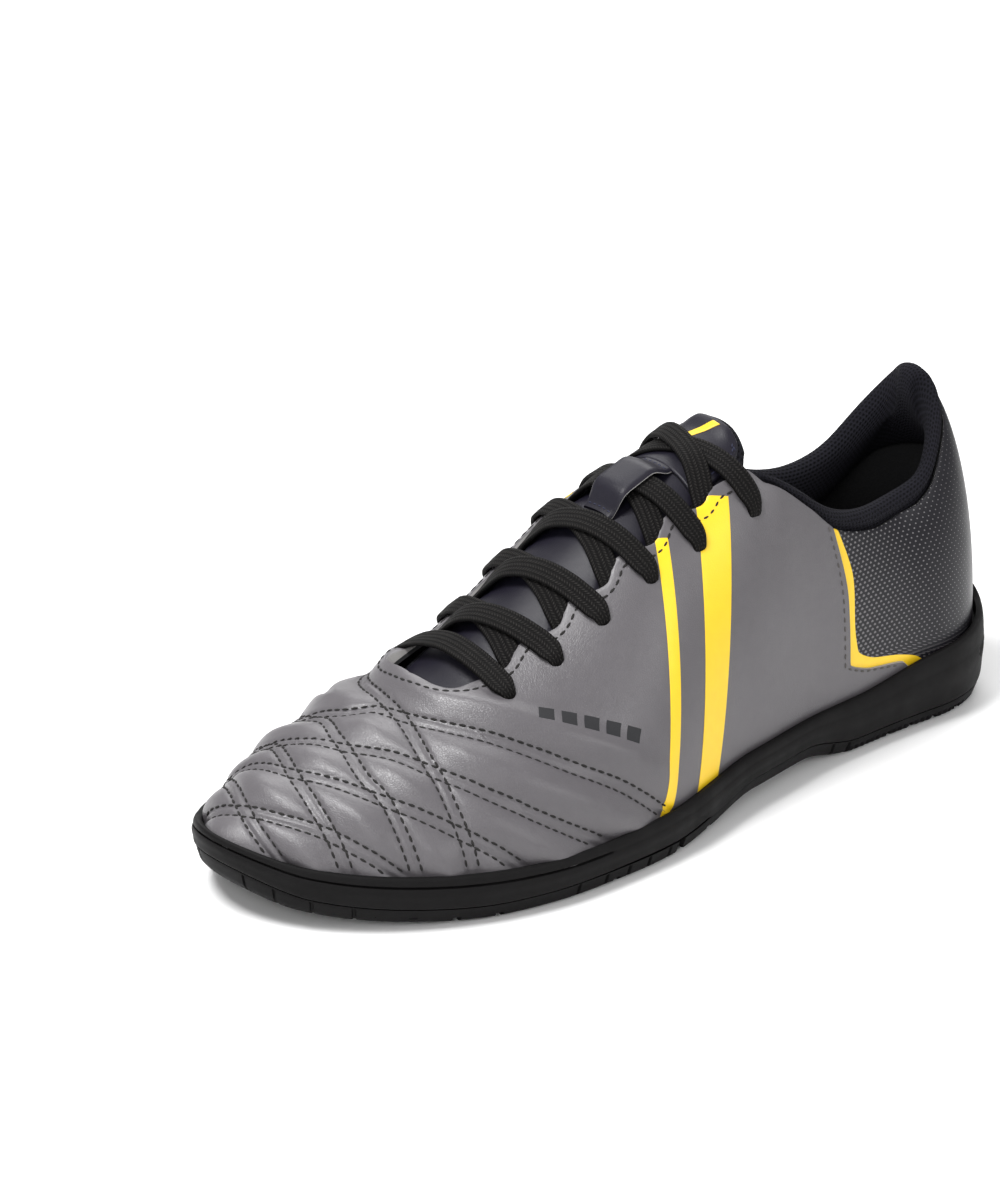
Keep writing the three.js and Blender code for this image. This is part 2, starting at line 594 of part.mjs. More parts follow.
// One strand starts beside the flap of a lower row and passes over the other flap to the next row.
const strandStart = (row) => EYELETS[row + 1] - (0.95 * LACE_WIDTH) / SHOE_LENGTH;
function strand(row, side, arch) {
  const start = strandStart(row);
  const first = side * (throatHalf(start) - 0.6 * LACE_WIDTH);
  const last = -side * (EYELET_HALF - 0.2 * EYELET_BORE);
  const path = [];
  for (let i = 0; i <= LACE_STEPS; i += 1) {
    const t = i / LACE_STEPS;
    path.push({
      share: mix(start, EYELETS[row], t),
      across: mix(first, last, t),
      lift: LACE_LIFT + arch * Math.sin(Math.PI * t),
    });
  }
  return toManifold(ribbon(path));
}
const LOW_ARCH = 0.3; // of the strand that passes below, and of the one above it
const HIGH_ARCH = 0.75 * LACE_THICKNESS;
const crossGeometry = (row) => strand(row, -1, LOW_ARCH).add(strand(row, 1, HIGH_ARCH));
function bottomBarGeometry() {
  const row = EYELETS.length - 1;
  const path = [];
  for (let i = 0; i <= LACE_STEPS; i += 1) {
    const across = mix(-1, 1, i / LACE_STEPS) * (EYELET_HALF - 0.2 * EYELET_BORE);
    path.push({ share: EYELETS[row], across, lift: LACE_LIFT });
  }
  return ribbon(path);
}
// Leather loop along the tongue that keeps one lace crossing in place.
const LOOP_ROW = 1;
const LOOP_LENGTH = 24;
const LOOP_WIDTH = 12;
function loopGeometry() {
  const middle = mix(strandStart(LOOP_ROW), EYELETS[LOOP_ROW], 0.41);
  const over = LACE_LIFT + 2 * LACE_THICKNESS + CLEARANCE;
  const rings = [-1, -0.82, -0.6, -0.48, 0, 0.48, 0.6, 0.82, 1].map((t) => {
    const share = middle + (t * LOOP_LENGTH) / 2 / SHOE_LENGTH;
    const climb = smooth(0.82, 0.52, Math.abs(t));
    const rise = (across) => mix(CLEARANCE - tongueDepth(share, across), over, climb);
    const across = [-0.5, 0, 0.5].map((side) => side * LOOP_WIDTH);
    const upper = across.map((a) => crown(share, a, rise(a) + LOOP_LEATHER));
    const lower = across.map((a) => crown(share, a, rise(a)));
    return [...upper, ...lower.reverse()];
  });
  return bar(rings);
}

// Sole. Rings follow the plan at a distance in from its widest line, closed on the spine. The squares
// of its upper face are split as those of the lower face that lies on it.
const slab = (layers, upper) => skin(layers, false, undefined, layers.length - 1 - upper);
function ringAt(distance, height) {
  return TURNS.map((turn) => {
    const p = inset(turn, distance(shareOfTurn(turn)));
    return new THREE.Vector3(p.x, p.y, height(shareAt(p.x)));
  });
}
function spineRing(height) {
  return TURNS.map((turn) => {
    const p = spine(turn, () => 0);
    return new THREE.Vector3(p.x, p.y, height(shareAt(p.x)));
  });
}
// A ring well inside the sole's edge, so that broad faces follow the height across the width.
const INNER_RING = 0.5;
function innerRing(height) {
  return TURNS.map((turn) => {
    const p = spine(turn, () => 0).lerp(outline(turn), INNER_RING);
    return new THREE.Vector3(p.x, p.y, height(shareAt(p.x)));
  });
}
const at = (distance) => () => distance;
const INSOLE_EDGE = FEATHER_INSET + WALL + 3 * CLEARANCE;
const treadTop = (share) => under(share) + TREAD_THICKNESS;
const wallAt = (climb) => (share) => mix(treadTop(share), rim(share), climb);
function midsoleGeometry() {
  const groove = (share) => 0.3 + SIDE_GROOVE * smooth(0.55, 0.66, share);
  const seat = (share) => treadTop(share) + CLEARANCE;
  const rings = [
    spineRing(seat),
    innerRing(seat),
    ringAt(at(TREAD_SHOULDER), seat),
    ringAt(at(0.3), wallAt(0.28)),
    ringAt(at(0), wallAt(0.5)),
    ringAt(at(0.2), wallAt(0.62)),
    ringAt(groove, wallAt(0.66)),
    ringAt(groove, wallAt(0.74)),
    ringAt(at(0.5), wallAt(0.79)),
    ringAt(at(1), (share) => rim(share) - 0.7),
    ringAt(at(0.5 * LIP_THICKNESS), rim),
    ringAt(at(LIP_THICKNESS), rim),
    ringAt(at(LIP_THICKNESS), footbed),
    ringAt(at(INSOLE_EDGE), footbed),
    innerRing(footbed),
    spineRing(footbed),
  ];
  return slab(rings, 3);
}

// A groove in the underside along points of the plan.
function grooveCut(path, closed) {
  const last = path.length - 1;
  const rings = path.map((p, i) => {
    const before = path[i === 0 ? (closed ? last : 0) : i - 1];
    const after = path[i === last ? (closed ? 0 : last) : i + 1];
    const along = after.clone().sub(before).normalize();
    const side = new THREE.Vector2(-along.y, along.x).multiplyScalar(GROOVE_WIDTH / 2);
    const ceiling = under(shareAt(p.x)) + GROOVE_DEPTH;
    const low = -TREAD_THICKNESS;
    return [
      new THREE.Vector3(p.x - side.x, p.y - side.y, low),
      new THREE.Vector3(p.x + side.x, p.y + side.y, low),
      new THREE.Vector3(p.x + side.x, p.y + side.y, ceiling),
      new THREE.Vector3(p.x - side.x, p.y - side.y, ceiling),
    ];
  });
  return toManifold(closed ? skin(rings.map((ring) => ring.reverse()), true) : bar(rings));
}
// Chevron grooves across the sole: where their middles lie.
const FORE_GROOVES = [0.5, 0.545, 0.59, 0.635, 0.775, 0.82, 0.865, 0.905, 0.945];
const HEEL_GROOVES = [0.03, 0.065, 0.1, 0.135, 0.17, 0.205];
const PIVOT_SHARE = 0.705;
const PIVOT_SIDES = 20;
const CHEVRON_SWEEP = 2 * GROOVE_WIDTH;
function chevron(share) {
  return [-1, -0.36, 0, 0.36, 1].map((t) => {
    const bend = [-1, 1, -1.2][Math.ceil(Math.abs(t) * 1.5)] * CHEVRON_SWEEP;
    return new THREE.Vector2(lengthAt(share) + bend, planCentre(share) + (t * BALL_WIDTH) / 2);
  });
}
function treadGeometry() {
  const rings = [
    spineRing(under),
    innerRing(under),
    ringAt(at(TREAD_DRAFT), under),
    ringAt(at(0.55 * TREAD_DRAFT), (share) => mix(under(share), treadTop(share), 0.35)),
    ringAt(at(TREAD_SHOULDER), treadTop),
    innerRing(treadTop),
    spineRing(treadTop),
  ];
  let body = toManifold(slab(rings, 2));
  for (const share of [...FORE_GROOVES, ...HEEL_GROOVES]) {
    body = body.subtract(grooveCut(chevron(share), false));
  }
  const ring = [];
  for (let i = 0; i < PIVOT_SIDES; i += 1) {
    const round = (i / PIVOT_SIDES) * 2 * Math.PI;
    const x = lengthAt(PIVOT_SHARE) + PIVOT_RADIUS * Math.cos(round);
    ring.push(new THREE.Vector2(x, planCentre(PIVOT_SHARE) + PIVOT_RADIUS * Math.sin(round)));
  }
  return body.subtract(grooveCut(ring, true));
}

// Insole on the footbed, inside the upper's wall.
function insoleGeometry() {
  const high = (share) => upperFoot(share) + INSOLE_THICKNESS;
  const rings = [
    spineRing(upperFoot),
    innerRing(upperFoot),
    ringAt(at(INSOLE_EDGE), upperFoot),
    ringAt(at(INSOLE_EDGE + 0.5), (share) => high(share) - 0.8),
    ringAt(at(INSOLE_EDGE + 1.7), high),
    innerRing(high),
    spineRing(high),
  ];
  return slab(rings, 2);
}

const LEATHER = { color: 0x6f6c70, roughness: 0.45, metalness: 0 };
const RUBBER = { color: 0x1c1b1c, roughness: 0.75, metalness: 0 };
const KNIT = { color: 0x1d1c20, roughness: 0.95, metalness: 0 };
const DARK_LEATHER = { color: 0x2a2833, roughness: 0.5, metalness: 0 };
const BRAID = { color: 0x121213, roughness: 0.9, metalness: 0 };

const shoe = new THREE.Group();
function place(name, shape, finish) {
  const solid = shape.isBufferGeometry ? toManifold(shape) : shape;
  const geometry = fromManifold(largest(solid));
  const mesh = new THREE.Mesh(geometry, new THREE.MeshStandardMaterial(finish));
  mesh.name = name;
  shoe.add(mesh);
}
place("upper", upperGeometry(), LEATHER);
place("collar_lining", liningGeometry(), KNIT);
place("tongue", tongueGeometry(), DARK_LEATHER);
place("tongue_patch", patchGeometry(), DARK_LEATHER);
place("lace_loop", loopGeometry(), DARK_LEATHER);
place("insole", insoleGeometry(), KNIT);
place("midsole", midsoleGeometry(), RUBBER);
place("outsole", treadGeometry(), RUBBER);
place("lace_bar", bottomBarGeometry(), BRAID);
for (let row = 0; row < EYELETS.length - 1; row += 1) {
  place(`lace_cross_${row + 1}`, crossGeometry(row), BRAID);
}
export default shoe;
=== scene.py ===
# Looks of a left indoor soccer shoe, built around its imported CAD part.
# Metres, in the part's frame: the toe points along -X, the outer side faces -Y, the floor is z = 0.
import math

import bmesh
import bpy
import numpy as np
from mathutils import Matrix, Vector
from mathutils.bvhtree import BVHTree


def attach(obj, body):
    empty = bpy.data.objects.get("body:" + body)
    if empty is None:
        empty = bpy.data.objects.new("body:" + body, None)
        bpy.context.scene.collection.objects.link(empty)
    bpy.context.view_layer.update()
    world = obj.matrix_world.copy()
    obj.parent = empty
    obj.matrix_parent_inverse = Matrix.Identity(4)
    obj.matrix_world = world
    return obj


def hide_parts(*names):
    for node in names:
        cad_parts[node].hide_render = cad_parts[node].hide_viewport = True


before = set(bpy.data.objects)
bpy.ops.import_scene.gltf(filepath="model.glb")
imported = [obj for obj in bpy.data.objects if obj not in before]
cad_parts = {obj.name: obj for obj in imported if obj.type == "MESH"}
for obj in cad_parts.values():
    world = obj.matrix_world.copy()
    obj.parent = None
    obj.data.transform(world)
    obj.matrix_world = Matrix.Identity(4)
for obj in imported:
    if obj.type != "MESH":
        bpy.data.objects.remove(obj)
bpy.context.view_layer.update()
MM = 0.001

# Sizes of the shoe, as in the part's source.
SHOE_LENGTH = 286 * MM
BALL_WIDTH = 105 * MM
WAIST_WIDTH = 68 * MM
HEEL_WIDTH = 72 * MM
HEEL_ROUND = 38 * MM
TOE_ROUND = 66 * MM
TOE_SPRING = 12 * MM
ARCH_RISE = 5 * MM
HEEL_BEVEL = 4 * MM
HEEL_RIM = 24 * MM
BALL_RIM = 15 * MM
TREAD_THICKNESS = 5 * MM
TREAD_DRAFT = 4 * MM
TREAD_SHOULDER = 1.2 * MM
GROOVE_DEPTH = 2 * MM
GROOVE_WIDTH = 2.4 * MM
PIVOT_RADIUS = 19 * MM
LIP_HEIGHT = 4.5 * MM
LIP_THICKNESS = 3 * MM
INSTEP_HEIGHT = 98 * MM
TOE_HEIGHT = 44 * MM
HEEL_HEIGHT = 99 * MM
HEEL_LEAN = 4.5 * MM
COLLAR_DIP = 67 * MM
WALL = 2 * MM
PANEL_STEP = 0.8 * MM
THROAT_HALF = 18 * MM
EYELET_BORE = 4.6 * MM
EYELET_HALF = 24.8 * MM
LACE_WIDTH = 7.5 * MM
LACE_THICKNESS = 1.6 * MM
LINING_THICKNESS = 6.5 * MM
LINING_RISE = 5.5 * MM
TONGUE_THICKNESS = 4.5 * MM
PATCH_THICKNESS = 1 * MM
LOOP_LEATHER = 1.2 * MM
LOOP_LENGTH = 24 * MM
LOOP_WIDTH = 12 * MM
INSOLE_THICKNESS = 4 * MM
CLEARANCE = 0.3 * MM

# Shares of the length, from the heel at 0 to the toe at 1.
THROAT_FRONT = 0.75
THROAT_BACK = 0.372
EYELETS = [0.38, 0.457, 0.522, 0.584, 0.641, 0.7]
HEEL_SHARE = HEEL_ROUND / SHOE_LENGTH
TOE_SHARE = TOE_ROUND / SHOE_LENGTH
HEEL_TURN = 0.2
TOE_TURN = 0.72
LEAN_END = 0.42
FEATHER_INSET = LIP_THICKNESS + CLEARANCE
INSOLE_EDGE = FEATHER_INSET + WALL + 3 * CLEARANCE


def smooth(low, high, value):
    p = np.clip((np.asarray(value, float) - low) / (high - low), 0, 1)
    return p * p * (3 - 2 * p)


def mix(a, b, share):
    return a + (b - a) * share


def unit(vectors):
    return vectors / np.maximum(np.linalg.norm(vectors, axis=-1, keepdims=True), 1e-12)


def travelled(points):
    """Distance along a path at each of its points."""
    return np.concatenate([[0], np.cumsum(np.linalg.norm(np.diff(points, axis=0), axis=1))])


def evened(rows, times, weight=2):
    """Rows averaged with their neighbours several times. The first and the last stay."""
    rows = np.array(rows, float)
    for _ in range(times):
        rows[1:-1] = (rows[:-2] + weight * rows[1:-1] + rows[2:]) / (2 + weight)
    return rows


def placed(name, data):
    """A new object of the scene that holds the data."""
    made = bpy.data.objects.new(name, data)
    bpy.context.scene.collection.objects.link(made)
    return made


class Curve:
    """Cubic through a table's rows that never overshoots them."""

    def __init__(self, rows, unit=1.0):
        self.x = np.array([row[0] for row in rows], float)
        self.y = np.array([row[1] for row in rows], float) * unit
        rise = np.diff(self.y) / np.diff(self.x)
        self.slope = np.empty(len(self.x))
        self.slope[0] = rise[0]
        self.slope[-1] = rise[-1]
        for i in range(1, len(self.x) - 1):
            before, after = rise[i - 1], rise[i]
            same = before * after > 0
            self.slope[i] = 2 * before * after / (before + after) if same else 0

    def __call__(self, at):
        t = np.clip(at, self.x[0], self.x[-1])
        i = np.clip(np.searchsorted(self.x, t, side="left") - 1, 0, len(self.x) - 2)
        width = self.x[i + 1] - self.x[i]
        p = (t - self.x[i]) / width
        q = 1 - p
        ends = self.y[i] * q * q * (1 + 2 * p) + self.y[i + 1] * p * p * (3 - 2 * p)
        return ends + self.slope[i] * width * p * q * q - self.slope[i + 1] * width * p * p * q


# Plan of the sole by share: its centre line, and half its width before the ends are rounded.
PLAN_CENTRE = Curve([(0, 0), (0.15, 0.01), (0.3, -0.01), (0.42, -0.04), (0.55, -0.05), (0.64, -0.025),
                     (0.72, 0), (0.82, 0.025), (0.92, 0.05), (1, 0.08)], BALL_WIDTH)
PLAN_HALF = Curve([
    (0, 0.5 * HEEL_WIDTH), (0.15, 0.48 * HEEL_WIDTH), (0.3, 0.5 * WAIST_WIDTH), (0.42, 0.54 * WAIST_WIDTH),
    (0.55, 0.43 * BALL_WIDTH), (0.64, 0.48 * BALL_WIDTH), (0.72, 0.5 * BALL_WIDTH), (0.82, 0.47 * BALL_WIDTH),
    (0.92, 0.43 * BALL_WIDTH), (1, 0.4 * BALL_WIDTH),
])
# Heights along the sole: its underside and the top of its edge.
UNDER = Curve([
    (0, HEEL_BEVEL), (0.03, 0.2 * HEEL_BEVEL), (0.07, 0), (0.15, 0), (0.25, 0), (0.34, 0.9 * ARCH_RISE),
    (0.42, 0.9 * ARCH_RISE), (0.5, 0.3 * ARCH_RISE), (0.57, 0), (0.7, 0), (0.78, 0),
    (0.88, 0.15 * TOE_SPRING), (0.95, 0.4 * TOE_SPRING), (1, TOE_SPRING),
])
RIM = Curve([
    (0, 1.35 * HEEL_RIM), (0.03, 1.15 * HEEL_RIM), (0.07, 1.07 * HEEL_RIM), (0.15, 0.96 * HEEL_RIM),
    (0.25, 0.79 * HEEL_RIM), (0.34, 0.77 * HEEL_RIM), (0.42, 0.76 * HEEL_RIM), (0.5, 1.12 * BALL_RIM),
    (0.57, 1.02 * BALL_RIM), (0.7, 0.95 * BALL_RIM), (0.78, BALL_RIM), (0.88, 1.12 * BALL_RIM),
    (0.95, 1.3 * BALL_RIM), (1, 1.65 * BALL_RIM),
])
# Sections of the upper: closing height, fullness of the outer and inner shoulders, the ridge's shift
# to the inner side and the inner side's swell.
SECTION_TOP = Curve([
    (0, 1.22 * HEEL_HEIGHT), (0.05, 1.2 * HEEL_HEIGHT), (0.061, 1.15 * HEEL_HEIGHT),
    (0.076, 1.07 * HEEL_HEIGHT), (0.097, 0.98 * HEEL_HEIGHT), (0.13, 0.89 * HEEL_HEIGHT),
    (0.16, 0.86 * HEEL_HEIGHT), (0.2, 0.9 * HEEL_HEIGHT), (0.25, HEEL_HEIGHT), (0.3, 1.11 * INSTEP_HEIGHT),
    (0.34, 1.13 * INSTEP_HEIGHT), (0.38, 1.06 * INSTEP_HEIGHT), (0.46, 0.98 * INSTEP_HEIGHT),
    (0.525, 0.905 * INSTEP_HEIGHT), (0.583, 0.8 * INSTEP_HEIGHT), (0.635, 0.7 * INSTEP_HEIGHT),
    (0.685, 0.62 * INSTEP_HEIGHT), (0.74, 1.23 * TOE_HEIGHT), (0.8, 1.07 * TOE_HEIGHT),
    (0.85, 1.01 * TOE_HEIGHT), (0.9, 0.96 * TOE_HEIGHT), (1, 0.84 * TOE_HEIGHT),
])
OUTER_FULL = Curve([(0, 2.3), (0.13, 2.3), (0.16, 2.25), (0.38, 2.25), (0.46, 2.05), (0.525, 1.9), (0.583, 1.8),
                    (0.635, 1.75), (0.685, 1.8), (0.74, 1.95), (0.8, 2.1), (0.85, 2.15), (0.9, 2.25), (1, 2.3)])
INNER_FULL = Curve([(0, 2.3), (0.13, 2.3), (0.16, 2.25), (0.25, 2.25), (0.3, 2.4), (0.34, 2.6), (0.38, 2.8),
                    (0.46, 2.8), (0.525, 2.7), (0.583, 2.3), (0.635, 1.95), (0.685, 1.8), (0.74, 1.85),
                    (0.8, 1.95), (0.85, 2.05), (0.9, 2.2), (1, 2.3)])
RIDGE = Curve([(0, 0), (0.2, 0), (0.25, 0.02), (0.3, 0.03), (0.34, 0.045), (0.38, 0.055), (0.46, 0.065),
               (0.525, 0.07), (0.583, 0.075), (0.635, 0.07), (0.685, 0.065), (0.74, 0.06), (0.8, 0.05),
               (0.85, 0.045), (0.9, 0.04), (1, 0.03)], BALL_WIDTH)
SWELL = Curve([(0, 0), (0.25, 0), (0.3, 0.01), (0.34, 0.02), (0.38, 0.03), (0.46, 0.04), (0.525, 0.035),
               (0.583, 0.02), (0.635, 0.01), (0.685, 0), (1, 0)], BALL_WIDTH)
# Leather edge of the collar by turn, and half the throat's gap by share, drawn back between eyelets.
COLLAR_EDGE = Curve([
    (0, HEEL_HEIGHT), (0.047, 0.98 * HEEL_HEIGHT), (0.088, 0.91 * HEEL_HEIGHT), (0.132, 0.825 * HEEL_HEIGHT),
    (0.175, 1.09 * COLLAR_DIP), (0.215, 1.025 * COLLAR_DIP), (0.25, COLLAR_DIP), (0.28, 1.025 * COLLAR_DIP),
    (0.308, 1.08 * COLLAR_DIP), (0.338, 0.83 * INSTEP_HEIGHT), (0.372, 0.925 * INSTEP_HEIGHT),
    (0.395, 0.96 * INSTEP_HEIGHT),
])
THROAT_EDGE = Curve([
    (0.372, 0.96), (0.39, 0.98), (0.415, 0.95), (0.434, 1.06), (0.476, 0.89), (0.5, 1.08), (0.543, 0.9),
    (0.563, 1.07), (0.6, 0.87), (0.62, 1.03), (0.658, 0.83), (0.684, 1.0), (0.722, 0.86), (0.735, 0.8),
    (0.742, 0.7), (0.747, 0.46), (THROAT_FRONT, 0),
], THROAT_HALF)


def length_at(share):
    return (0.5 - share) * SHOE_LENGTH


def share_at(x):
    return 0.5 - x / SHOE_LENGTH


# A turn runs from 0 at the back of the heel along the outer side to 1 at the toe, and on to 2.
def way_of(turn):
    return np.abs(np.mod(turn + 3, 2) - 1)


def side_of(turn):
    return np.where(np.mod(turn, 2) <= 1, -1.0, 1.0)


def share_of(turn):
    way = way_of(turn)
    heel = HEEL_SHARE * (1 - np.cos(way / HEEL_TURN * np.pi / 2))
    side = mix(HEEL_SHARE, 1 - TOE_SHARE, (way - HEEL_TURN) / (TOE_TURN - HEEL_TURN))
    toe = 1 - TOE_SHARE + TOE_SHARE * np.sin((way - TOE_TURN) / (1 - TOE_TURN) * np.pi / 2)
    return np.where(way < HEEL_TURN, heel, np.where(way < TOE_TURN, side, toe))


def turn_at(share, side):
    way = mix(HEEL_TURN, TOE_TURN, (share - HEEL_SHARE) / (1 - TOE_SHARE - HEEL_SHARE))
    return np.where(np.asarray(side) < 0, way, 2 - way)


def outline(turn):
    share = share_of(turn)
    heel = np.sqrt(np.clip(1 - np.clip(1 - share / HEEL_SHARE, 0, 1) ** 2, 0, 1))
    into = np.clip((share - (1 - TOE_SHARE)) / TOE_SHARE, 0, 1)
    half = PLAN_HALF(share) * heel * np.sqrt(1 - into**2)
    return np.stack([length_at(share), PLAN_CENTRE(share) + side_of(turn) * half], -1)


def inset(turn, distance):
    step = 0.002
    along = unit(outline(turn + step) - outline(turn - step))
    inward = np.stack([along[..., 1], -along[..., 0]], -1)
    return outline(turn) + inward * np.asarray(distance)[..., None]


def spine(turn, shift):
    share = np.clip(share_of(turn), HEEL_SHARE, 1 - TOE_SHARE)
    return np.stack([length_at(share), PLAN_CENTRE(share) + shift(share)], -1)


def last_point(turn, angle):
    """A point of the upper's outer face: the angle is 0 at the sole and 90 at the ridge."""
    turn, angle = np.broadcast_arrays(np.asarray(turn, float), np.asarray(angle, float))
    foot = inset(turn, FEATHER_INSET)
    share = share_of(turn)
    centre = spine(turn, RIDGE)
    power = 2 / np.where(side_of(turn) < 0, OUTER_FULL(share), INNER_FULL(share))
    radians = np.radians(angle)
    out = np.maximum(np.cos(radians), 0) ** power
    up = np.sin(radians) ** power
    plan = centre + (foot - centre) * out[..., None]
    plan[..., 1] += np.where(side_of(turn) > 0, SWELL(share) * out * np.sin(2 * radians), 0)
    base = RIM(share) - LIP_HEIGHT + CLEARANCE
    height = base + (SECTION_TOP(share_at(plan[..., 0])) - base) * up
    climb = np.maximum(height - HEEL_RIM, 0) / (HEEL_HEIGHT - HEEL_RIM)
    lean = HEEL_LEAN * climb**1.5 * smooth(LEAN_END, 0.1, share)
    return np.stack([plan[..., 0] - lean, plan[..., 1], height], -1)


def last_normal(turn, angle):
    turn, angle = np.broadcast_arrays(np.asarray(turn, float), np.asarray(angle, float))
    small, steep = 0.004, 88.0
    low = np.clip(angle - 0.5, 0.05, steep)
    high = np.minimum(angle + 0.5, steep + 1)
    level = np.clip(angle, 0.05, steep)
    along = last_point(turn + small, level) - last_point(turn - small, level)
    up = last_point(turn, high) - last_point(turn, low)
    return unit(np.cross(up, along))


def lifted(turn, angle, lift):
    return last_point(turn, angle) + last_normal(turn, angle) * np.asarray(lift, float)[..., None]


def angle_across(turn, across):
    ridge = spine(turn, RIDGE)[..., 1]
    low = np.full(np.shape(turn), 10.0)
    high = np.full(np.shape(turn), 90.0)
    for _ in range(20):
        middle = (low + high) / 2
        far = np.abs(last_point(turn, middle)[..., 1] - ridge) > across
        low = np.where(far, middle, low)
        high = np.where(far, high, middle)
    return high


def angle_at_height(turn, height):
    steps = np.arange(2.0, 90.0, 2.0)
    reached = last_point(turn[:, None], steps[None, :])[..., 2] >= height[:, None]
    first = np.where(reached.any(axis=1), reached.argmax(axis=1), len(steps) - 1)
    high = steps[first]
    low = high - 2
    for _ in range(16):
        middle = (low + high) / 2
        below = last_point(turn, middle)[..., 2] < height
        low = np.where(below, middle, low)
        high = np.where(below, high, middle)
    return high


def find_opening(turn):
    share = share_of(turn)
    throat = np.where(share >= THROAT_FRONT, 90.0, angle_across(turn, THROAT_EDGE(share)))
    along = smooth(THROAT_BACK - 0.015, THROAT_BACK + 0.01, share)
    collar = angle_at_height(turn, COLLAR_EDGE(way_of(turn)))
    return mix(collar, throat, along)


def opening_table():
    dense = turn_at(np.linspace(0.72, THROAT_FRONT, 240), -1)
    ways = np.unique(np.concatenate([np.linspace(0, 1, 1601), dense]))
    turns = np.concatenate([ways, 2 - ways[::-1][1:]])
    return turns, find_opening(turns)


OPENING_TURNS, OPENING_ANGLES = opening_table()


def opening_angle(turn):
    """The angle at which each section meets the collar's or the throat's edge."""
    return np.interp(np.mod(np.atleast_1d(np.asarray(turn, float)), 2), OPENING_TURNS, OPENING_ANGLES)


def crown(share, across, lift):
    """A point over the instep, at a signed distance across from the ridge."""
    share, across, lift = np.broadcast_arrays(*[np.asarray(v, float) for v in (share, across, lift)])
    turn = turn_at(share, across)
    return lifted(turn, angle_across(turn, np.abs(across)), lift)


def crown_normal(share, across):
    share, across = np.broadcast_arrays(np.asarray(share, float), np.asarray(across, float))
    turn = turn_at(share, across)
    return last_normal(turn, angle_across(turn, np.abs(across)))


# Meshes.
def make_mesh(name, points, quads, materials, kinds=None, uv=None, sharp=None):
    """A mesh object of quads with merged points. kinds gives each face's material."""
    mesh = bpy.data.meshes.new(name)
    points = np.asarray(points, float).reshape(-1, 3)
    mesh.from_pydata(points.tolist(), [], np.asarray(quads).tolist())
    for material in materials:
        mesh.materials.append(material)
    if kinds is not None:
        mesh.polygons.foreach_set("material_index", np.asarray(kinds, np.int32))
    if uv is not None:
        layer = mesh.uv_layers.new(name="UVMap")
        corner = np.empty(len(mesh.loops), np.int32)
        mesh.loops.foreach_get("vertex_index", corner)
        layer.data.foreach_set("uv", np.asarray(uv, float).reshape(-1, 2)[corner].ravel())
    piece = placed(name, mesh)
    finish_mesh(piece, sharp)
    return piece


def finish_mesh(piece, sharp=None, merge=2e-6):
    mesh = piece.data
    work = bmesh.new()
    work.from_mesh(mesh)
    bmesh.ops.remove_doubles(work, verts=work.verts, dist=merge)
    bmesh.ops.dissolve_degenerate(work, dist=1e-6, edges=work.edges)
    bmesh.ops.recalc_face_normals(work, faces=work.faces)
    work.to_mesh(mesh)
    work.free()
    mesh.polygons.foreach_set("use_smooth", np.ones(len(mesh.polygons), bool))
    if sharp:
        mesh.set_sharp_from_angle(angle=math.radians(sharp))
    mesh.update()


def grid_quads(rows, columns, wrap_rows=False, wrap_columns=False):
    """Corners of the quads between a grid's points, and each quad's row and column."""
    r = np.arange(rows if wrap_rows else rows - 1)
    c = np.arange(columns if wrap_columns else columns - 1)
    r, c = [v.ravel() for v in np.meshgrid(r, c, indexing="ij")]
    down, right = (r + 1) % rows, (c + 1) % columns
    quads = np.stack([r * columns + c, r * columns + right, down * columns + right, down * columns + c], -1)
    return quads, r, c


def capped_bar(name, rings, materials, kinds=None, uv=None, sharp=None):
    """Closed sections joined along a bar, with a cap at both ends."""
    rings = np.asarray(rings, float)
    count, size = rings.shape[:2]
    quads, r, c = grid_quads(count, size, wrap_columns=True)
    quads = quads.tolist()
    marks = [0] * len(quads) if kinds is None else [kinds(a, b) for a, b in zip(r, c)]
    for end in (0, count - 1):
        base = end * size
        for i in range(size // 2 - 1):
            quads.append([base + i, base + i + 1, base + size - 2 - i, base + size - 1 - i])
            marks.append(marks[min(end, count - 2) * size] if kinds else 0)
    return make_mesh(name, rings, quads, materials, marks, uv, sharp)


def round_path(points, steps, closed=False):
    """A smooth path through given points, evenly parted along its length."""
    points = np.asarray(points, float)
    if closed:
        work = np.vstack([points[-1], points, points[0], points[1]])
    else:
        work = np.vstack([2 * points[0] - points[1], points, 2 * points[-1] - points[-2]])
    dense = []
    for i in range(1, len(work) - 2):
        a, b, c, d = work[i - 1:i + 3]
        t = np.linspace(0, 1, 24, endpoint=False)[:, None]
        dense.append(0.5 * (2 * b + (c - a) * t + (2 * a - 5 * b + 4 * c - d) * t**2
                            + (3 * b - a - 3 * c + d) * t**3))
    dense = np.vstack(dense + [work[-2][None, :]])
    travel = travelled(dense)
    at = np.linspace(0, travel[-1], steps, endpoint=not closed)
    return np.stack([np.interp(at, travel, dense[:, k]) for k in range(dense.shape[1])], -1)


